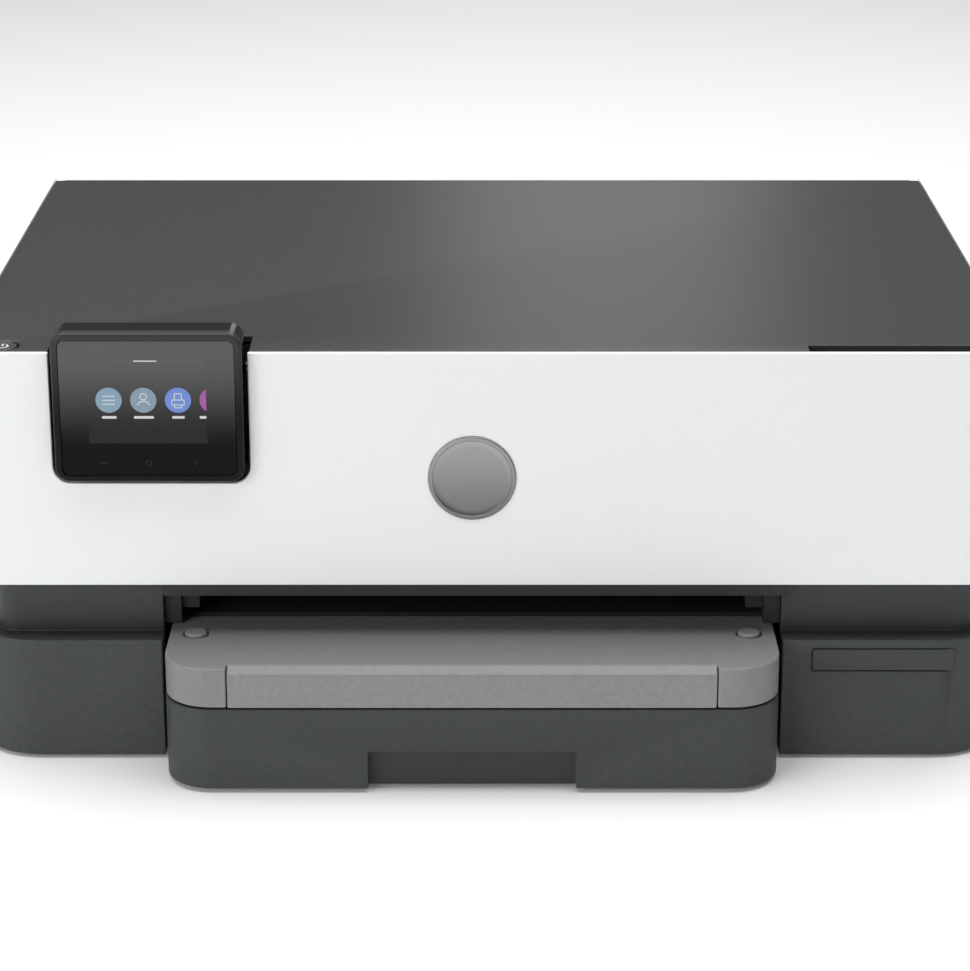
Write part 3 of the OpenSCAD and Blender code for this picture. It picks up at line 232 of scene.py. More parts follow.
def handling() -> bpy.types.NodeTree:
    """Slow changes of colour and gloss over a surface, from flow, handling and settled dust."""

    def build(wires: Wires, given: object, out: object) -> None:
        """Drives colour from a broad noise and roughness from a broad and a close one."""
        broad = wires.noise(given["Scale"], 3.0)
        close = wires.noise(wires.math("MULTIPLY", given["Scale"], 14.0), 3.0)
        both = wires.math("MULTIPLY_ADD", close, 0.45, wires.math("MULTIPLY", broad, 0.55))
        centred = wires.math("SUBTRACT", both, 0.5)
        gain = wires.math("MULTIPLY_ADD", centred, given["Variation"], 1.0)
        colour = wires.add("ShaderNodeVectorMath", operation="SCALE")
        wires.join(given["Colour"], colour.inputs[0])
        wires.join(gain, colour.inputs["Scale"])
        wires.join(colour.outputs[0], out["Colour"])
        rough = wires.math("MULTIPLY_ADD", centred, given["Spread"], given["Roughness"])
        wires.join(rough, out["Roughness"])

    inputs = [
        ("Colour", "Color", (0.5, 0.5, 0.5, 1.0)),
        ("Variation", "Float", 0.1),
        ("Roughness", "Float", 0.5),
        ("Spread", "Float", 0.1),
        ("Scale", "Float", 14.0),
    ]
    return shader_group("handling", inputs, [("Colour", "Color"), ("Roughness", "Float")], build)


def edge_wear() -> bpy.types.NodeTree:
    """A paler, rubbed colour on raised edges, broken up by noise."""

    def build(wires: Wires, given: object, out: object) -> None:
        """Masks the edges by how much they stand out."""
        point = wires.add("ShaderNodeNewGeometry").outputs["Pointiness"]
        raised = wires.add("ShaderNodeMapRange", clamp=True)
        raised.inputs["From Min"].default_value = 0.505
        raised.inputs["From Max"].default_value = 0.56
        wires.join(point, raised.inputs["Value"])
        broken = wires.math("MULTIPLY", raised.outputs["Result"], wires.noise(420.0, 4.0))
        mask = wires.math("MULTIPLY", broken, given["Amount"])
        mix = wires.add("ShaderNodeMix", data_type="RGBA")
        wires.join(mask, mix.inputs[0])
        wires.join(given["Colour"], mix.inputs[6])
        wires.join(given["Worn"], mix.inputs[7])
        wires.join(mix.outputs[2], out["Colour"])

    inputs = [
        ("Colour", "Color", (0.5, 0.5, 0.5, 1.0)),
        ("Worn", "Color", (0.7, 0.7, 0.7, 1.0)),
        ("Amount", "Float", 0.3),
    ]
    return shader_group("edge_wear", inputs, [("Colour", "Color")], build)


def drawn_lines() -> bpy.types.NodeTree:
    """Fine parallel lines from drawing, rolling or turning, as a height."""

    def build(wires: Wires, given: object, out: object) -> None:
        """Stretches a noise along one axis."""
        place = wires.add("ShaderNodeVectorMath", operation="MULTIPLY")
        wires.join(wires.add("ShaderNodeTexCoord").outputs["Object"], place.inputs[0])
        wires.join(given["Stretch"], place.inputs[1])
        texture = wires.add("ShaderNodeTexNoise")
        texture.inputs["Detail"].default_value = 4.0
        texture.inputs["Scale"].default_value = 1.0
        wires.join(place.outputs[0], texture.inputs["Vector"])
        wires.join(wires.math("MULTIPLY", texture.outputs["Fac"], given["Amount"]), out["Height"])

    inputs = [("Stretch", "Vector", (20.0, 1800.0, 1800.0)), ("Amount", "Float", 1.0)]
    return shader_group("drawn_lines", inputs, [("Height", "Float")], build)


# ---------------------------------------------------------------- finishes


class Texture(Enum):
    """What a surface's fine relief is."""

    GRAIN = "moulded grain"
    LINES = "drawn lines"
    FELT = "felted fibres"
    POLISH = "polished"


@dataclass(frozen=True)
class Finish:
    """One surface finish, and how to make its material."""

    name: str
    colour: RGB
    roughness: float = 0.5
    metallic: float = 0.0
    texture: Texture = Texture.GRAIN
    grain: float = 1500.0
    depth: float = 0.02 * MM
    variation: float = 0.14
    spread: float = 0.12
    wear: float = 0.25
    worn: RGB = (0.55, 0.55, 0.55)
    coat: float = 0.0
    specular: float = 0.5
    stretch: RGB = (20.0, 1800.0, 1800.0)
    glow: float = 0.0
    # Painted reflection: the bottom colour, and the low and high heights over which the colour fades from it up to the
    # finish's own colour.
    painted_reflection: tuple[RGB, float, float] | None = None

    def group(self, wires: Wires, tree: bpy.types.NodeTree, **values: object) -> bpy.types.Node:
        """Places a shader group with this finish's values.

        Args:
            wires: The material's wires.
            tree: The group.
            **values: Input values, with underscores for spaces.

        Returns:
            The group's node.
        """
        node = wires.add("ShaderNodeGroup", node_tree=tree)
        for name, value in values.items():
            socket = node.inputs[name.replace("_", " ")]
            if isinstance(value, bpy.types.NodeSocket):
                wires.join(value, socket)
            else:
                socket.default_value = (*value, 1.0) if socket.type == "RGBA" else value
        return node

    def paint_reflection(self, wires: Wires, colour: bpy.types.NodeSocket) -> bpy.types.NodeSocket:
        """Paints a reflection into the colour: fades it to another colour down a height, so the finish is lighter at
        the top and darker at the bottom.
        """
        if not self.painted_reflection:
            return colour
        other, low, high = self.painted_reflection
        split = wires.add("ShaderNodeSeparateXYZ")
        wires.join(wires.add("ShaderNodeTexCoord").outputs["Object"], split.inputs[0])
        fade = wires.add("ShaderNodeMapRange", clamp=True, interpolation_type="SMOOTHSTEP")
        fade.inputs["From Min"].default_value = low
        fade.inputs["From Max"].default_value = high
        wires.join(split.outputs["Z"], fade.inputs["Value"])
        mix = wires.add("ShaderNodeMix", data_type="RGBA")
        mix.inputs[6].default_value = (*other, 1.0)
        wires.join(fade.outputs["Result"], mix.inputs[0])
        wires.join(colour, mix.inputs[7])
        return mix.outputs[2]

    def relief(self, wires: Wires) -> bpy.types.NodeSocket | None:
        """The height of the fine relief, or None where there is none."""
        if self.texture is Texture.GRAIN:
            return self.group(wires, mould_grain(), Scale=self.grain).outputs["Height"]
        if self.texture is Texture.LINES:
            return self.group(wires, drawn_lines(), Stretch=self.stretch).outputs["Height"]
        if self.texture is Texture.FELT:
            return self.group(wires, mould_grain(), Scale=self.grain, Cells=-1.4).outputs["Height"]
        return None

    def material(self) -> bpy.types.Material:
        """Makes the material, or finds it if it's already made."""
        found = bpy.data.materials.get(self.name)
        if found:
            return found
        made = bpy.data.materials.new(self.name)
        made.use_nodes = True
        made.node_tree.nodes.clear()
        wires = Wires(made.node_tree)
        shader = wires.add("ShaderNodeBsdfPrincipled")
        shader.inputs["Metallic"].default_value = self.metallic
        shader.inputs["Coat Weight"].default_value = self.coat
        shader.inputs["Coat Roughness"].default_value = 0.04
        shader.inputs["Specular IOR Level"].default_value = self.specular
        base = self.group(
            wires,
            handling(),
            Colour=self.colour,
            Variation=self.variation,
            Roughness=self.roughness,
            Spread=self.spread,
        )
        worn = self.group(
            wires, edge_wear(), Colour=base.outputs["Colour"], Worn=self.worn, Amount=self.wear
        )
        # The base colour carries the painted reflection where the finish has one.
        colour = self.paint_reflection(wires, worn.outputs["Colour"])
        wires.join(colour, shader.inputs["Base Color"])
        wires.join(base.outputs["Roughness"], shader.inputs["Roughness"])
        if self.glow:
            wires.join(colour, shader.inputs["Emission Color"])
            shader.inputs["Emission Strength"].default_value = self.glow
        height = self.relief(wires)
        if height:
            bump = wires.add("ShaderNodeBump")
            bump.inputs["Distance"].default_value = self.depth
            bump.inputs["Strength"].default_value = 1.0
            wires.join(height, bump.inputs["Height"])
            wires.join(bump.outputs["Normal"], shader.inputs["Normal"])
        wires.join(shader.outputs[0], wires.add("ShaderNodeOutputMaterial").inputs["Surface"])
        return made


DARK = Finish("slate_plastic", srgb(51, 54, 55), specular=0.35, variation=0.05, worn=srgb(118, 122, 124),
              wear=0.3)
LID = Finish("lid_plastic", srgb(36, 38, 39), specular=0.37, roughness=0.34, spread=0.03, variation=0.04,
             grain=2100.0, depth=0.006 * MM, worn=srgb(110, 114, 116), wear=0.3)
WHITE = Finish("white_plastic", srgb(238, 240, 241), roughness=0.42, variation=0.03, grain=1900.0,
               depth=0.008 * MM, worn=srgb(250, 250, 248), wear=0.2)
GREY = Finish("tray_grey_plastic", srgb(121, 121, 122), roughness=0.48, variation=0.04, worn=srgb(190, 190, 190),
              wear=0.3)
BLACK = Finish("black_plastic", srgb(28, 28, 30), roughness=0.55, worn=srgb(70, 70, 72))
DEEP = Finish("bay_black_plastic", srgb(30, 30, 32), roughness=0.6, worn=srgb(60, 60, 62))
PIANO = Finish("piano_black", srgb(12, 12, 14), roughness=0.14, texture=Texture.POLISH, coat=0.15, specular=0.3,
               spread=0.05, worn=srgb(60, 60, 64), wear=0.15)
# Painted reflection: the rim's colour is lighter at the top and fades to near black towards the bottom of the panel.
RIM = Finish("gloss_rim", srgb(58, 59, 60), roughness=0.14, texture=Texture.POLISH, specular=0.15,
             spread=0.05, wear=0.0, painted_reflection=(srgb(9, 9, 10), 0.150, 0.190))
# Painted reflection of a bright area above: the glass is lighter at the top and fades to near black down the panel.
GLASS = Finish("screen_glass", srgb(92, 92, 93), roughness=0.1, texture=Texture.POLISH, specular=0.1,
               variation=0.03, spread=0.03, wear=0.0, painted_reflection=(srgb(7, 7, 8), 0.140, 0.182))
GUIDE = Finish("guide_plastic", srgb(98, 101, 104), roughness=0.46)
STEEL = Finish("zinc_plated_steel", (0.56, 0.57, 0.58), roughness=0.34, metallic=1.0, texture=Texture.LINES,
               depth=0.01 * MM, stretch=(14.0, 1400.0, 1400.0), worn=(0.75, 0.75, 0.76))
GROUND = Finish("ground_steel_rod", (0.66, 0.67, 0.69), roughness=0.14, metallic=1.0, texture=Texture.LINES,
                depth=0.004 * MM, stretch=(2600.0, 30.0, 30.0))
GRIT = Finish("grit_coated_steel", (0.32, 0.32, 0.33), roughness=0.62, metallic=0.9, grain=3200.0,
              depth=0.05 * MM)
BRASS = Finish("turned_brass", (0.72, 0.5, 0.18), roughness=0.28, metallic=1.0, texture=Texture.LINES,
               depth=0.006 * MM, stretch=(2200.0, 40.0, 40.0), worn=(0.85, 0.7, 0.4))
CAN = Finish("motor_can", (0.3, 0.31, 0.32), roughness=0.3, metallic=0.9, texture=Texture.LINES,
             depth=0.006 * MM, stretch=(40.0, 40.0, 1500.0))
RUBBER = Finish("black_rubber", srgb(32, 32, 34), roughness=0.82, grain=2600.0, depth=0.05 * MM)
ACETAL = Finish("natural_acetal", srgb(214, 213, 205), roughness=0.4, worn=srgb(235, 235, 228))
BOARD = Finish("solder_mask", (0.008, 0.09, 0.035), roughness=0.28, texture=Texture.LINES, coat=0.3,
               stretch=(900.0, 300.0, 300.0), depth=0.03 * MM, worn=(0.4, 0.3, 0.12))
CORK = Finish("cork_rubber", srgb(122, 84, 56), roughness=0.9, grain=1100.0, depth=0.12 * MM,
              variation=0.6, worn=srgb(150, 110, 80))
FELT = Finish("absorber_felt", srgb(206, 205, 196), roughness=0.96, texture=Texture.FELT, grain=900.0,
              depth=0.3 * MM, variation=0.3)
FILM = Finish("encoder_film", srgb(150, 154, 150), roughness=0.12, texture=Texture.LINES,
              stretch=(5200.0, 1.0, 1.0), depth=0.01 * MM, coat=0.5)
# Painted reflection: the roundel's colour is lighter at its top and darker towards its bottom.
BADGE = Finish("badge_metal", (0.34, 0.34, 0.35), roughness=0.34, metallic=1.0, texture=Texture.LINES,
               stretch=(2400.0, 30.0, 60.0), depth=0.003 * MM, variation=0.05, spread=0.04, wear=0.1,
               painted_reflection=((0.17, 0.17, 0.175), 0.108, 0.144))
LENS = Finish("status_lens", srgb(236, 242, 238), roughness=0.3, texture=Texture.POLISH, glow=0.05, wear=0.0)
LEGEND = Finish("white_legend", srgb(226, 228, 230), depth=0.004 * MM, wear=0.0)


def ink(name: str, tint: RGB) -> Finish:
    """The finish of one ink tank, in its own colour."""
    return Finish(f"{name}_tank", tint, roughness=0.38, depth=0.01 * MM, worn=(0.4, 0.4, 0.4), wear=0.2)


def lit(name: str, tint: RGB, glow: float) -> Finish:
    """The finish of one lit mark behind the screen's glass."""
    return Finish(name, tint, roughness=0.1, texture=Texture.POLISH, variation=0.05, specular=0.1, glow=glow, wear=0.0)


# Painted reflection: the screen area's colour is lighter at the top and darker towards its bottom.
SCREEN = Finish("screen_area", srgb(96, 96, 97), roughness=0.1, texture=Texture.POLISH, specular=0.1,
                variation=0.03, spread=0.02, wear=0.0, painted_reflection=(srgb(41, 41, 42), 0.147, 0.184))
LIGHT_MARK = lit("light_marks", srgb(188, 192, 196), 0.25)
FAINT_MARK = lit("faint_marks", srgb(38, 40, 42), 0.0)
MORE_KEY = lit("more_key", srgb(150, 88, 150), 0.2)
KEY = Finish("key_plastic", srgb(50, 53, 55), roughness=0.34, depth=0.006 * MM, worn=srgb(110, 114, 116), wear=0.3)
FLOOR = Finish("studio_floor", (0.86, 0.86, 0.86), roughness=0.7, grain=60.0, depth=0.05 * MM, variation=0.01,
               spread=0.05, wear=0.0, specular=0.2, glow=0.1)


# ---------------------------------------------------------------- meshes


def outline(width: float, height: float, radius: float, steps: int = 10) -> list[Point]:
    """A rectangle with round corners about the origin, anticlockwise.

    Args:
        width: Its full width.
        height: Its full height.
        radius: Its corners' radius.
        steps: How many edges each corner has.

    Returns:
        The corner points.
    """
    points = []
    for turn, (sx, sy) in enumerate(((1, -1), (1, 1), (-1, 1), (-1, -1))):
        cx, cy = sx * (width / 2 - radius), sy * (height / 2 - radius)
        for k in range(steps + 1):
            angle = math.radians(-90 + 90 * turn + 90 * k / steps)
            points.append((cx + radius * math.cos(angle), cy + radius * math.sin(angle)))
    return points


def quarter(inset: float, depth: float, radius: float, steps: int = 6) -> list[Point]:
    """A rounded edge as (inset, depth) pairs, from the side wall to the face at depth.

    Args:
        inset: Inset of the side wall.
        depth: Depth of the face, measured away from it.
        radius: The edge's radius.
        steps: How many edges the arc has.

    Returns:
        Insets and depths along the arc.
    """
    return [
        (inset + radius * (1 - math.cos(a)), depth + radius * (1 - math.sin(a)))
        for a in (math.pi / 2 * k / steps for k in range(steps + 1))
    ]


class Shape:
    """A mesh in the making, in metres."""

    def __init__(self) -> None:
        """Starts with an empty mesh."""
        self.bm = bmesh.new()

    def ring(self, points: Sequence[Vector]) -> list[bmesh.types.BMVert]:
        """Adds one ring of corners."""
        return [self.bm.verts.new(p) for p in points]

    def skin(self, rings: Sequence[Sequence[Vector]], closed: bool = False, caps: bool = True) -> Shape:
        """Joins rings of corners into a surface.

        Args:
            rings: Rings with the same number of corners.
            closed: Joins the last ring to the first, as for a frame.
            caps: Closes both ends where the surface isn't closed.

        Returns:
            This shape.
        """
        made = [self.ring(r) for r in rings]
        pairs = list(zip(made, made[1:])) + ([(made[-1], made[0])] if closed else [])
        for a, b in pairs:
            for k in range(len(a)):
                n = (k + 1) % len(a)
                self.bm.faces.new((a[k], a[n], b[n], b[k]))
        if caps and not closed:
            self.bm.faces.new(reversed(made[0]))
            self.bm.faces.new(made[-1])
        return self

    def bar(self, low: Vector, high: Vector) -> Shape:
        """Adds a plain bar between two corners."""
        made = bmesh.ops.create_cube(self.bm, size=1.0)["verts"]
        size = high - low
        for v in made:
            v.co = Vector((v.co[i] + 0.5) * size[i] + low[i] for i in range(3))
        return self

    def done(self, name: str, finish: Finish, edge: float = 0.0, angle: float = 35.0) -> bpy.types.Object:
        """Turns the shape into an object.

        Args:
            name: The object's name.
            finish: Its finish.
            edge: Width of the bevel on its sharp edges, in metres.
            angle: The angle that counts as sharp, in degrees.

        Returns:
            The object.
        """
        bmesh.ops.recalc_face_normals(self.bm, faces=self.bm.faces)
        mesh = bpy.data.meshes.new(name)
        self.bm.to_mesh(mesh)
        self.bm.free()
        mesh.polygons.foreach_set("use_smooth", [True] * len(mesh.polygons))
        mesh.set_sharp_from_angle(angle=math.radians(angle))
        mesh.materials.append(finish.material())
        obj = bpy.data.objects.new(name, mesh)
        bpy.context.scene.collection.objects.link(obj)
        if edge:
            bevel(obj, edge, angle)
        return obj


def plate(centre: Vector, width: float, height: float, radius: float, rings: Sequence[Point],
          turn: Matrix, steps: int = 10) -> list[list[Vector]]:
    """Rings of a rounded plate that faces along its own +Z.

    Args:
        centre: The middle of its face.
        width: Its width.
        height: Its height.
        radius: Its corners' radius.
        rings: (inset, depth) of each ring, depth measured back from the face.
        turn: Turns the plate from facing +Z.
        steps: How many edges each corner has.

    Returns:
        The rings, in the row frame.
    """
    made = []
    for inset, depth in rings:
        small = max(radius - inset, 0.15 * MM)
        flat = outline(width - 2 * inset, height - 2 * inset, small, steps)
        made.append([centre + turn @ Vector((x, y, -depth)) for x, y in flat])
    return made


def turned(centre: Vector, profile: Sequence[Point], turn: Matrix, steps: int = 72) -> list[list[Vector]]:
    """Rings of a round piece that faces along its own +Z.

    Args:
        centre: The middle of its face.
        profile: (radius, depth) of each ring, depth measured back from the face.
        turn: Turns the piece from facing +Z.
        steps: How many edges each ring has.

    Returns:
        The rings, in the row frame.
    """
    return [
        [
            centre + turn @ Vector((r * math.cos(a), r * math.sin(a), -d))
            for a in (2 * math.pi * k / steps for k in range(steps))
        ]
        for r, d in profile
    ]


TO_FRONT = Matrix.Rotation(math.radians(90), 3, "X")
UPWARD = Matrix.Identity(3)


def softener(angle: float) -> bpy.types.NodeTree:
    """A geometry group that shades a mesh smooth and keeps the edges above an angle sharp."""
    name = f"soften_{angle:.0f}"
    found = bpy.data.node_groups.get(name)
    if found:
        return found
    tree = bpy.data.node_groups.new(name, "GeometryNodeTree")
    for way in ("INPUT", "OUTPUT"):
        tree.interface.new_socket("Mesh", in_out=way, socket_type="NodeSocketGeometry")
    wires = Wires(tree)
    given, out = wires.add("NodeGroupInput"), wires.add("NodeGroupOutput")
    faces = wires.add("GeometryNodeSetShadeSmooth", domain="FACE")
    edges = wires.add("GeometryNodeSetShadeSmooth", domain="EDGE")
    less = wires.add("FunctionNodeCompare", operation="LESS_THAN")
    less.inputs["B"].default_value = math.radians(angle)
    wires.join(wires.add("GeometryNodeInputMeshEdgeAngle").outputs["Unsigned Angle"], less.inputs["A"])
    wires.join(given.outputs[0], faces.inputs["Geometry"])
    wires.join(faces.outputs[0], edges.inputs["Geometry"])
    wires.join(less.outputs[0], edges.inputs["Shade Smooth"])
    wires.join(edges.outputs[0], out.inputs[0])
    return tree


def box_keeper() -> bpy.types.NodeTree:
    """A geometry group that holds every point of a mesh inside a box."""
    found = bpy.data.node_groups.get("box_keeper")
    if found:
        return found
    tree = bpy.data.node_groups.new("box_keeper", "GeometryNodeTree")
    tree.interface.new_socket("Mesh", in_out="INPUT", socket_type="NodeSocketGeometry")
    for label in ("Low", "High"):
        tree.interface.new_socket(label, in_out="INPUT", socket_type="NodeSocketVector")
    tree.interface.new_socket("Mesh", in_out="OUTPUT", socket_type="NodeSocketGeometry")
    wires = Wires(tree)
    given, out = wires.add("NodeGroupInput"), wires.add("NodeGroupOutput")
    above = wires.add("ShaderNodeVectorMath", operation="MAXIMUM")
    below = wires.add("ShaderNodeVectorMath", operation="MINIMUM")
    wires.join(wires.add("GeometryNodeInputPosition").outputs[0], above.inputs[0])
    wires.join(given.outputs["Low"], above.inputs[1])
    wires.join(above.outputs[0], below.inputs[0])
    wires.join(given.outputs["High"], below.inputs[1])
    mover = wires.add("GeometryNodeSetPosition")
    wires.join(given.outputs["Mesh"], mover.inputs["Geometry"])
    wires.join(below.outputs[0], mover.inputs["Position"])
    wires.join(mover.outputs[0], out.inputs[0])
    return tree


def bevel(obj: bpy.types.Object, width: float, angle: float) -> None:
    """Rounds the sharp edges of an object and evens out its shading.

    Args:
        obj: The object.
        width: The bevel's width, in metres.
        angle: The angle that counts as sharp, in degrees.
    """
    rounder = obj.modifiers.new("edges", "BEVEL")
    rounder.width = width
    rounder.segments = ROUND_STEPS
    rounder.limit_method = "ANGLE"
    rounder.angle_limit = math.radians(angle)
    rounder.use_clamp_overlap = True
    rounder.harden_normals = False
    shading = obj.modifiers.new("shading", "NODES")
    shading.node_group = softener(SOFT_ANGLE)
    even = obj.modifiers.new("even", "WEIGHTED_NORMAL")
    even.keep_sharp = True
    even.weight = EVEN_WEIGHT


def dress(name: str, finish: Finish, edge: float, cut: bool) -> bpy.types.Object:
    """Gives a CAD node its finish and rounded edges.

    Args:
        name: The node's name.
        finish: Its finish.
        edge: Radius of its edges, in millimetres.
        cut: Whether its many-sided faces are cut into triangles first, as a thin ring's must be.

    Returns:
        The node's object.
    """
    obj = FRAME["nodes"][name]
    for slot in obj.material_slots:
        slot.material = finish.material()
    weld = obj.modifiers.new("weld", "WELD")
    weld.merge_threshold = WELD_REACH
    flat = obj.modifiers.new("flat", "DECIMATE")
    flat.decimate_type = "DISSOLVE"
    flat.angle_limit = math.radians(FLAT_ANGLE)
    if cut:
        cutter = obj.modifiers.new("cut", "TRIANGULATE")
        cutter.min_vertices = 5
    bevel(obj, edge * MM, SHARP_ANGLE)
    LOG.info("dressed %s in %s", name, finish.name)
    return obj


FRAME: dict = {}


def corners(name: str) -> tuple[Vector, Vector]:
    """A node's lowest and highest corners."""
    low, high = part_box(name)
    return Vector(low), Vector(high)


def place(piece: bpy.types.Object, body: str, slot: str, *replaced: str) -> None:
    """Joins a new piece to its body, and hides the nodes it stands for.

    Args:
        piece: The new piece.
        body: The body it moves with.
        slot: The record's material slot; not used.
        *replaced: The CAD nodes it stands for.
    """
    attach(piece, body)
    if replaced:
        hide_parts(*replaced)
    LOG.info("built %s on %s", piece.name, body)


@dataclass(frozen=True)
class Coat:
    """How one CAD node is finished: its finish, its edges' radius, whether thin spots hold them back, and the cut."""

    node: str
    finish: Finish
    edge: float = 0.3
    held: bool = True
    cut: bool = False

    def apply(self) -> None:
        """Dresses the node."""
        obj = dress(self.node, self.finish, self.edge, self.cut)
        if self.held:
            return
        obj.modifiers["edges"].use_clamp_overlap = False
        keeper = obj.modifiers.new("box", "NODES")
        keeper.node_group = box_keeper()
        for item in keeper.node_group.interface.items_tree:
            if item.in_out == "INPUT" and item.name in ("Low", "High"):
                keeper[item.identifier] = corners(self.node)[item.name == "High"]
        while obj.modifiers[-1].name != "even":
            obj.modifiers.move(len(obj.modifiers) - 1, len(obj.modifiers) - 3)


def coat_all(coats: Sequence[Coat]) -> None:
    """Dresses nodes in the order given."""
    for coat in coats:
        coat.apply()


# ---------------------------------------------------------------- sub-assemblies


@dataclass
class Casing:
    """The fixed casing: dark base, white shell, rear wall and the small parts on them."""

    coats: tuple[Coat, ...] = (
        Coat("base_housing", DARK, 0.7, held=False),
        Coat("shell_cover", WHITE, 0.5, held=False),
        Coat("rear_panel", DARK, 0.5),
        Coat("top_frame", DARK, 0.4, cut=True),
        Coat("panel_pocket", BLACK, 0.4),
        Coat("output_ramp", DEEP, 0.8),
        Coat("bay_deck", BLACK, 0.3),
        Coat("rubber_feet", RUBBER, 0.6),
        Coat("name_plate", DARK, 0.15),
        Coat("status_lights", LENS, 0.15),
        Coat("rear_door", DARK, 0.5),
    )
    badge_rim: float = 1.5 * MM
    badge_step: float = 0.35 * MM
    badge_edge: float = 0.35 * MM

    def badge(self) -> None:
        """Builds the plain metal roundel on the front: a rim round a slightly domed disc."""
        low, high = corners("front_badge")
        radius, deep = (high.x - low.x) / 2, high.y - low.y
        centre = Vector(((low.x + high.x) / 2, low.y, (low.z + high.z) / 2))
        rim, step, edge = self.badge_rim, self.badge_step, self.badge_edge
        profile = [(radius, deep), *((radius - i, d) for i, d in quarter(0.0, 0.0, edge))]
        profile += [(radius - rim, 0.0), (radius - rim - step * 0.6, step * 0.8), (radius - rim - step, step)]
        dome = 6
        profile += [
            (max((radius - rim - step) * (1 - k / dome), SMALLEST), step - 0.5 * step * (1 - (1 - k / dome) ** 2))
            for k in range(1, dome + 1)
        ]
        # The roundel's finish paints a reflection into its colour, lighter at the top and darker at the bottom.
        piece = Shape().skin(turned(centre, profile, TO_FRONT, 120)).done("badge_roundel", BADGE)
        place(piece, "chassis", "front_badge", "front_badge")

    def build(self) -> None:
        """Dresses the casing and builds its badge."""
        coat_all(self.coats)
        self.badge()


@dataclass
class Lid:
    """The lid, on its hinge at the rear."""

    edge: float = 0.55

    def build(self) -> None:
        """Dresses the lid."""
        Coat("lid_panel", LID, self.edge, held=False).apply()


@dataclass(frozen=True)
class Mark:
    """A round key on the screen: how far right of the panel's corner it is, its finish and its caption's width."""

    right: float
    finish: Finish
    caption: float


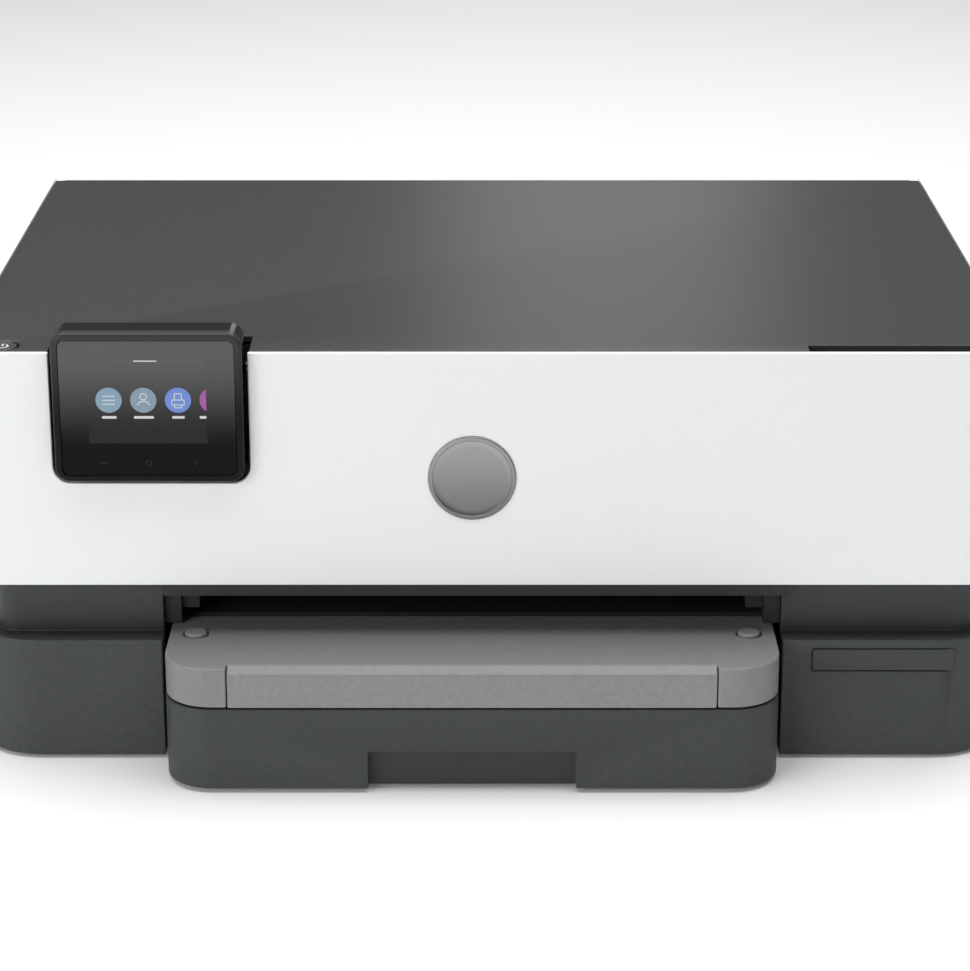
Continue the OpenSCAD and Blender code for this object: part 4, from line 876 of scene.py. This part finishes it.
@dataclass
class ControlPanel:
    """The tilting panel: a gloss frame, its glass, and the lit marks on its screen."""

    frame: float = 2.9 * MM
    corner: float = 6.0 * MM
    edge: float = 1.4 * MM
    lip: float = 0.35 * MM
    glass_gap: float = 0.12 * MM
    glass_sunk: float = 0.3 * MM
    glass_thick: float = 1.5 * MM
    ply: float = 0.05 * MM
    screen: tuple[float, float, float, float] = (14.5, 62.8, 10.7, 46.7)
    key_radius: float = 5.35
    key_down: float = 28.2
    caption_down: float = 35.5
    marks: tuple[Mark, ...] = (
        Mark(23.1, lit("menu_key", srgb(122, 146, 162), 0.25), 6.0),
        Mark(37.2, lit("user_key", srgb(124, 140, 156), 0.25), 8.1),
        Mark(51.3, lit("print_key", srgb(100, 126, 188), 0.3), 5.1),
    )

    def __post_init__(self) -> None:
        """Reads where the panel's frame is."""
        self.low, self.high = corners("panel_bezel")
        self.glass_y = self.low.y + self.glass_sunk

    def at(self, right: float, down: float, ply: int) -> Vector:
        """A point on the glass, in millimetres from the panel's top left corner.

        Args:
            right: How far right it is.
            down: How far down it is.
            ply: How many plies in front of the glass it is.

        Returns:
            The point, in metres.
        """
        return Vector((self.low.x + right * MM, self.glass_y - ply * self.ply, self.high.z - down * MM))

    def inlay(self, shape: Shape, right: float, down: float, width: float, height: float, ply: int,
              radius: float = 0.2) -> Shape:
        """Adds a thin rounded inlay, in millimetres.

        Args:
            shape: The mesh it is added to.
            right: Its middle's place across the panel.
            down: Its middle's place down the panel.
            width: Its width.
            height: Its height.
            ply: Its layer in front of the glass.
            radius: Its corners' radius.

        Returns:
            The mesh.
        """
        rings = plate(self.at(right, down, ply), width * MM, height * MM, radius * MM,
                      [(0.0, self.ply * ply + 0.1 * MM), (0.0, 0.0)], TO_FRONT, 5)
        return shape.skin(rings)

    def disc(self, shape: Shape, right: float, down: float, radius: float, ply: int,
             low: float = 0.0, turn: float = 360.0, hole: float = 0.0) -> Shape:
        """Adds a thin disc, a sector of one, or part of a ring, in millimetres and degrees.

        Args:
            shape: The mesh it is added to.
            right: Its middle's place across the panel.
            down: Its middle's place down the panel.
            radius: Its radius.
            ply: Its layer in front of the glass.
            low: Where the sector starts.
            turn: How far it turns.
            hole: The radius of the hole in a ring.

        Returns:
            The mesh.
        """
        steps = 40
        angles = [math.radians(low + turn * k / steps) for k in range(steps + (turn < 360))]
        flat = [(radius * math.cos(a), radius * math.sin(a)) for a in angles]
        if hole:
            flat += [(hole * math.cos(a), hole * math.sin(a)) for a in reversed(angles)]
        middle = self.at(right, down, ply)
        back = Vector((0, self.ply * ply + 0.1 * MM, 0))
        front = [middle + Vector((x * MM, 0, z * MM)) for x, z in flat]
        return shape.skin([[p + back for p in front], front])

    def show(self, shape: Shape, name: str, finish: Finish) -> None:
        """Makes a piece that lies on the glass."""
        place(shape.done(name, finish), "control_panel", "touch_glass")

    def surround(self) -> None:
        """Builds the gloss frame and the glass set into it."""
        width, height = self.high.x - self.low.x, self.high.z - self.low.z
        deep = self.high.y - self.low.y
        centre = Vector(((self.low.x + self.high.x) / 2, self.low.y, (self.low.z + self.high.z) / 2))
        inner = [(self.frame - self.lip + self.lip * math.sin(a), self.lip * (1 - math.cos(a)))
                 for a in (math.pi / 2 * k / 5 for k in range(6))]
        section = [(0.0, deep), *quarter(0.0, 0.0, self.edge, 8), *inner, (self.frame, deep)]
        rings = plate(centre, width, height, self.corner, section, TO_FRONT, 12)
        # The frame's finish paints a reflection into its colour, lighter at the top and darker at the bottom.
        piece = Shape().skin(rings, closed=True).done("panel_surround", RIM)
        place(piece, "control_panel", "panel_bezel", "panel_bezel")
        inset = self.frame + self.glass_gap
        section = [(inset, self.glass_thick), *quarter(inset, self.glass_sunk, 0.35 * MM)]
        rings = plate(centre, width, height, self.corner, section, TO_FRONT, 12)
        # The glass's finish paints a reflection into its colour, lighter at the top and darker at the bottom.
        piece = Shape().skin(rings).done("panel_glass", GLASS)
        place(piece, "control_panel", "touch_glass", "touch_glass")

    def display(self) -> None:
        """Builds the screen's lit area, its pull bar and its faint touch marks."""
        left, right, top, bottom = self.screen
        area = self.inlay(Shape(), (left + right) / 2, (top + bottom) / 2, right - left, bottom - top, 1, 0.3)
        # The screen area's finish paints a reflection into its colour, lighter at the top and darker at the bottom.
        self.show(area, "screen_area", SCREEN)
        bar = self.inlay(Shape(), (left + right) / 2 - 0.2, 11.6, 9.4, 0.5, 2, 0.2)
        for mark in self.marks:
            self.inlay(bar, mark.right, self.caption_down, mark.caption, 1.1, 2, 0.4)
        self.inlay(bar, 61.3, self.caption_down, 2.8, 1.1, 2, 0.4)
        self.show(bar, "screen_captions", LIGHT_MARK)
        faint = Shape()
        self.inlay(faint, 20.1, 55.2, 3.0, 0.5, 1, 0.2)
        self.disc(faint, 38.5, 55.2, 1.3, 1, hole=0.9)
        self.inlay(faint, 57.7, 55.2, 0.5, 2.2, 1, 0.2)
        self.show(faint, "touch_marks", FAINT_MARK)

    def keys(self) -> None:
        """Builds the three round keys, the part of a fourth that shows, and their plain symbols."""
        for mark in self.marks:
            disc = self.disc(Shape(), mark.right, self.key_down, self.key_radius, 2)
            self.show(disc, mark.finish.name, mark.finish)
        right, cut_at = 65.4, self.screen[1]
        half = math.degrees(math.acos((right - cut_at) / self.key_radius))
        fourth = self.disc(Shape(), right, self.key_down, self.key_radius, 2, 180 - half, 2 * half)
        self.show(fourth, "more_key", MORE_KEY)
        signs = Shape()
        menu, user, sheet = (m.right for m in self.marks)
        for k in (-1, 0, 1):
            self.inlay(signs, menu, self.key_down + k * 1.7, 5.2, 0.45, 3, 0.2)
        self.disc(signs, user, self.key_down - 1.5, 1.5, 3, hole=1.1)
        self.disc(signs, user, self.key_down + 3.2, 3.0, 3, 25.0, 130.0, hole=2.55)
        stroke = 0.42
        bars = [(0.0, -0.1, 5.4, stroke), (0.0, 2.0, 5.4, stroke)]
        for side in (-1, 1):
            bars += [(side * 2.5, 0.95, stroke, 2.2), (side * 1.45, -1.5, stroke, 2.8), (side * 1.45, 2.4, stroke, 1.8)]
        bars += [(0.0, -2.8, 3.3, stroke), (0.0, 3.2, 3.3, stroke)]
        for over, down, width, height in bars:
            self.inlay(signs, sheet + over, self.key_down + down, width, height, 3, 0.15)
        self.show(signs, "screen_symbols", LIGHT_MARK)

    def build(self) -> None:
        """Builds the panel's front and dresses its housing."""
        Coat("panel_housing", PIANO, 0.7, held=False).apply()
        self.surround()
        self.display()
        self.keys()


@dataclass
class PowerKey:
    """The round power button with its dished top and its plain symbol."""

    edge: float = 0.7 * MM
    skirt: float = 3.2 * MM
    dish: float = 0.45 * MM
    stem: float = 2.0 * MM
    ring: float = 2.35 * MM
    stroke: float = 0.62 * MM
    opening: float = 64.0

    def build(self) -> None:
        """Builds the button and the symbol on it."""
        low, high = corners("power_button")
        radius = (high.x - low.x) / 2
        centre = Vector(((low.x + high.x) / 2, (low.y + high.y) / 2, high.z))
        cap = [(self.stem, high.z - low.z), (self.stem, self.skirt), (radius, self.skirt)]
        cap += [(radius - i, d) for i, d in quarter(0.0, 0.0, self.edge)]
        face = radius - self.edge
        cap += [(max(face * (1 - k / 8), SMALLEST), self.dish * (1 - (1 - k / 8) ** 2)) for k in range(1, 9)]
        piece = Shape().skin(turned(centre, cap, UPWARD)).done("power_cap", KEY, 0.0, 40.0)
        place(piece, "power_key", "power_button", "power_button")
        sign = Shape()
        gap = math.radians(self.opening)
        angles = [math.pi / 2 + gap / 2 + (2 * math.pi - gap) * k / 40 for k in range(41)]
        inner, outer = self.ring - self.stroke / 2, self.ring + self.stroke / 2
        flat = [(outer * math.cos(a), outer * math.sin(a)) for a in angles]
        flat += [(inner * math.cos(a), inner * math.sin(a)) for a in reversed(angles)]
        top = centre.z - 0.24 * MM
        rings = [[Vector((centre.x + x, centre.y + y, z)) for x, y in flat] for z in (top - 0.4 * MM, top)]
        sign.skin(rings)
        bar = Vector((self.stroke / 2, 0, 0))
        foot = Vector((centre.x, centre.y + 0.2 * MM, top - 0.4 * MM))
        sign.bar(foot - bar, Vector((centre.x, centre.y + self.ring + 0.7 * MM, top)) + bar)
        place(sign.done("power_symbol", LEGEND), "power_key", "power_button")


@dataclass
class PaperTrays:
    """The input tray with its guides, and the output tray with its extender and buttons."""

    coats: tuple[Coat, ...] = (
        Coat("tray_bin", DARK, 0.4),
        Coat("tray_fascia", DARK, 0.8, held=False),
        Coat("separation_pad", CORK, 0.2),
        Coat("left_paper_guide", GUIDE, 0.3),
        Coat("right_paper_guide", GUIDE, 0.3),
        Coat("guide_pinion", ACETAL, 0.12),
        Coat("length_guide", GUIDE, 0.3),
        Coat("output_tray", GREY, 0.8, held=False),
        Coat("tray_extender", GREY, 0.35),
        Coat("left_release_button", GREY, 1.1, held=False),
        Coat("right_release_button", GREY, 1.1, held=False),
    )

    def build(self) -> None:
        """Dresses the trays."""
        coat_all(self.coats)


@dataclass
class PrintEngine:
    """The frames, rollers, carriage, ink and drives inside the casing."""

    pitch: float = 2.0 * MM
    tooth: float = 0.28 * MM
    thick: float = 1.2 * MM
    coats: tuple[Coat, ...] = (
        Coat("side_frames", STEEL, 0.2),
        Coat("rear_beam", STEEL, 0.2),
        Coat("guide_rod", GROUND, 0.4),
        Coat("platen", BLACK, 0.2),
        Coat("encoder_strip", FILM, 0.05),
        Coat("carriage_motor", CAN, 0.5),
        Coat("feed_motor", CAN, 0.5),
        Coat("service_station", ACETAL, 0.4),
        Coat("waste_ink_pad", FELT, 1.0),
        Coat("case_screws", STEEL, 0.12),
        Coat("pinch_arms", BLACK, 0.3),
        Coat("pinch_rollers", RUBBER, 0.3),
        Coat("carriage", BLACK, 0.5),
        Coat("print_head", BLACK, 0.4),
        Coat("black_cartridge", ink("black", srgb(30, 30, 32)), 0.6),
        Coat("cyan_cartridge", ink("cyan", srgb(20, 140, 190)), 0.6),
        Coat("magenta_cartridge", ink("magenta", srgb(190, 40, 110)), 0.6),
        Coat("yellow_cartridge", ink("yellow", srgb(226, 192, 40)), 0.6),
        Coat("motor_pulley", ACETAL, 0.15),
        Coat("idler_pulley", ACETAL, 0.15),
        Coat("feed_roller", GRIT, 0.3),
        Coat("feed_gear", ACETAL, 0.12),
        Coat("idler_gear", ACETAL, 0.12),
        Coat("exit_roller", BLACK, 0.12),
        Coat("motor_pinion", BRASS, 0.1),
        Coat("pickup_arm", BLACK, 0.4),
        Coat("pickup_roller", RUBBER, 0.5),
        Coat("cap_sled", RUBBER, 0.5),
    )

    def belt(self) -> None:
        """Builds the toothed belt: a closed loop round both pulleys, its teeth inward."""
        low, high = corners("drive_belt")
        radius = (high.z - low.z) / 2
        middle = (low.z + high.z) / 2
        left, right = low.x + radius, high.x - radius
        span = right - left
        around = 2 * span + 2 * math.pi * (radius - self.thick)
        count = 2 * round(around / self.pitch)
        rings = []
        for k in range(count):
            along = around * k / count
            inner = radius - self.thick - (self.tooth if k % 2 else 0.0)
            arc = math.pi * (radius - self.thick)
            if along < span:
                centre, spoke = Vector((left + along, 0, middle)), Vector((0, 0, 1))
            elif along < span + arc:
                turn = (along - span) / arc * math.pi
                centre, spoke = Vector((right, 0, middle)), Vector((math.sin(turn), 0, math.cos(turn)))
            elif along < 2 * span + arc:
                centre, spoke = Vector((right - (along - span - arc), 0, middle)), Vector((0, 0, -1))
            else:
                turn = (along - 2 * span - arc) / arc * math.pi
                centre, spoke = Vector((left, 0, middle)), Vector((-math.sin(turn), 0, -math.cos(turn)))
            rings.append(
                [centre + spoke * r + Vector((0, y, 0)) for r, y in
                 ((radius, low.y), (radius, high.y), (inner, high.y), (inner, low.y))]
            )
        piece = Shape().skin(rings, closed=True).done("toothed_belt", RUBBER, 0.0, 25.0)
        place(piece, "chassis", "drive_belt", "drive_belt")

    def build(self) -> None:
        """Dresses the engine and builds its belt."""
        coat_all(self.coats)
        self.belt()


@dataclass
class Electrics:
    """The board, the supply and the sockets."""

    coats: tuple[Coat, ...] = (
        Coat("main_board", BOARD, 0.15),
        Coat("power_supply", BLACK, 0.8),
        Coat("power_inlet", BLACK, 0.3),
    )

    def build(self) -> None:
        """Dresses the electrics."""
        coat_all(self.coats)


# ---------------------------------------------------------------- studio


@dataclass(frozen=True)
class Softbox:
    """One rectangular soft light: where it stands, where it aims, its size and its power."""

    name: str
    at: RGB
    aim: RGB
    size: Point
    power: float

    def build(self) -> None:
        """Makes the light, unseen by the camera."""
        data = bpy.data.lights.new(self.name, "AREA")
        data.shape = "RECTANGLE"
        data.size, data.size_y = self.size
        data.energy = self.power
        lamp = bpy.data.objects.new(self.name, data)
        lamp.location = self.at
        lamp.rotation_euler = (Vector(self.aim) - Vector(self.at)).to_track_quat("-Z", "Y").to_euler()
        lamp.visible_camera = False
        bpy.context.scene.collection.objects.link(lamp)


@dataclass
class Studio:
    """The pale floor, the soft lights and the camera."""

    focal: float = 2983.0
    pitch: float = 19.29
    stand: RGB = (-0.0012, -1.2975, 0.5296)
    picture_width: float = 970.0
    sensor: float = 36.0
    floor_half: float = 9.0
    ambient: float = 0.12
    backdrop: float = 0.9
    boxes: tuple[Softbox, ...] = (
        Softbox("overhead", (0.0, 0.1, 1.9), (0.0, 0.0, 0.0), (2.6, 2.0), 57.0),
        Softbox("front_fill", (-1.6, -2.0, 1.0), (-0.1, -0.1, 0.1), (1.6, 1.0), 28.0),
        Softbox("floor_wash", (0.0, 4.2, 2.8), (0.0, 3.6, 0.0), (4.5, 2.0), 26.0),
        Softbox("rear_card", (0.13, 1.9, 0.7), (0.03, 0.0, 0.18), (0.35, 0.6), 0.6),
    )

    def camera(self) -> None:
        """Makes the camera."""
        data = bpy.data.cameras.new("camera")
        data.sensor_fit = "HORIZONTAL"
        data.sensor_width = self.sensor
        data.lens = self.focal / self.picture_width * self.sensor
        data.clip_start, data.clip_end = 0.05, 60.0
        made = bpy.data.objects.new("camera", data)
        made.location = self.stand
        made.rotation_euler = (math.radians(90 - self.pitch), 0.0, 0.0)
        bpy.context.scene.collection.objects.link(made)
        bpy.context.scene.camera = made

    def floor(self) -> None:
        """Makes the floor as a flat grid of quads, so that it isn't a bare quad."""
        shape = Shape()
        half = self.floor_half
        steps = 12
        rows = [
            [Vector((-half + 2 * half * i / steps, -half + 2 * half * j / steps, 0.0)) for i in range(steps + 1)]
            for j in range(steps + 1)
        ]
        made = [shape.ring(r) for r in rows]
        for j in range(steps):
            for i in range(steps):
                shape.bm.faces.new((made[j][i], made[j][i + 1], made[j + 1][i + 1], made[j + 1][i]))
        shape.done("floor", FLOOR)

    def build(self) -> None:
        """Makes the floor, world, lights and camera."""
        self.floor()
        world = bpy.data.worlds.new("studio")
        world.use_nodes = True
        world.node_tree.nodes["Background"].inputs["Color"].default_value = (1.0, 1.0, 1.0, 1.0)
        nodes, links = world.node_tree.nodes, world.node_tree.links
        sight, level = nodes.new("ShaderNodeLightPath"), nodes.new("ShaderNodeMapRange")
        sight.location, level.location = (-420.0, 120.0), (-220.0, 120.0)
        level.inputs["To Min"].default_value = self.ambient
        level.inputs["To Max"].default_value = self.backdrop
        links.new(sight.outputs["Is Camera Ray"], level.inputs["Value"])
        links.new(level.outputs["Result"], nodes["Background"].inputs["Strength"])
        bpy.context.scene.world = world
        bpy.context.scene.view_settings.view_transform = "Standard"
        for box in self.boxes:
            box.build()
        self.camera()


def main() -> None:
    """Builds every sub-assembly in order, then the studio."""
    logging.basicConfig(level=logging.INFO, format="%(name)s: %(message)s")
    FRAME.update(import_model())
    Studio().build()
    for part in (Casing(), Lid(), ControlPanel(), PowerKey(), PaperTrays(), PrintEngine(), Electrics()):
        part.build()
        LOG.info("finished %s", type(part).__name__)


if __name__ == "__main__":
    main()
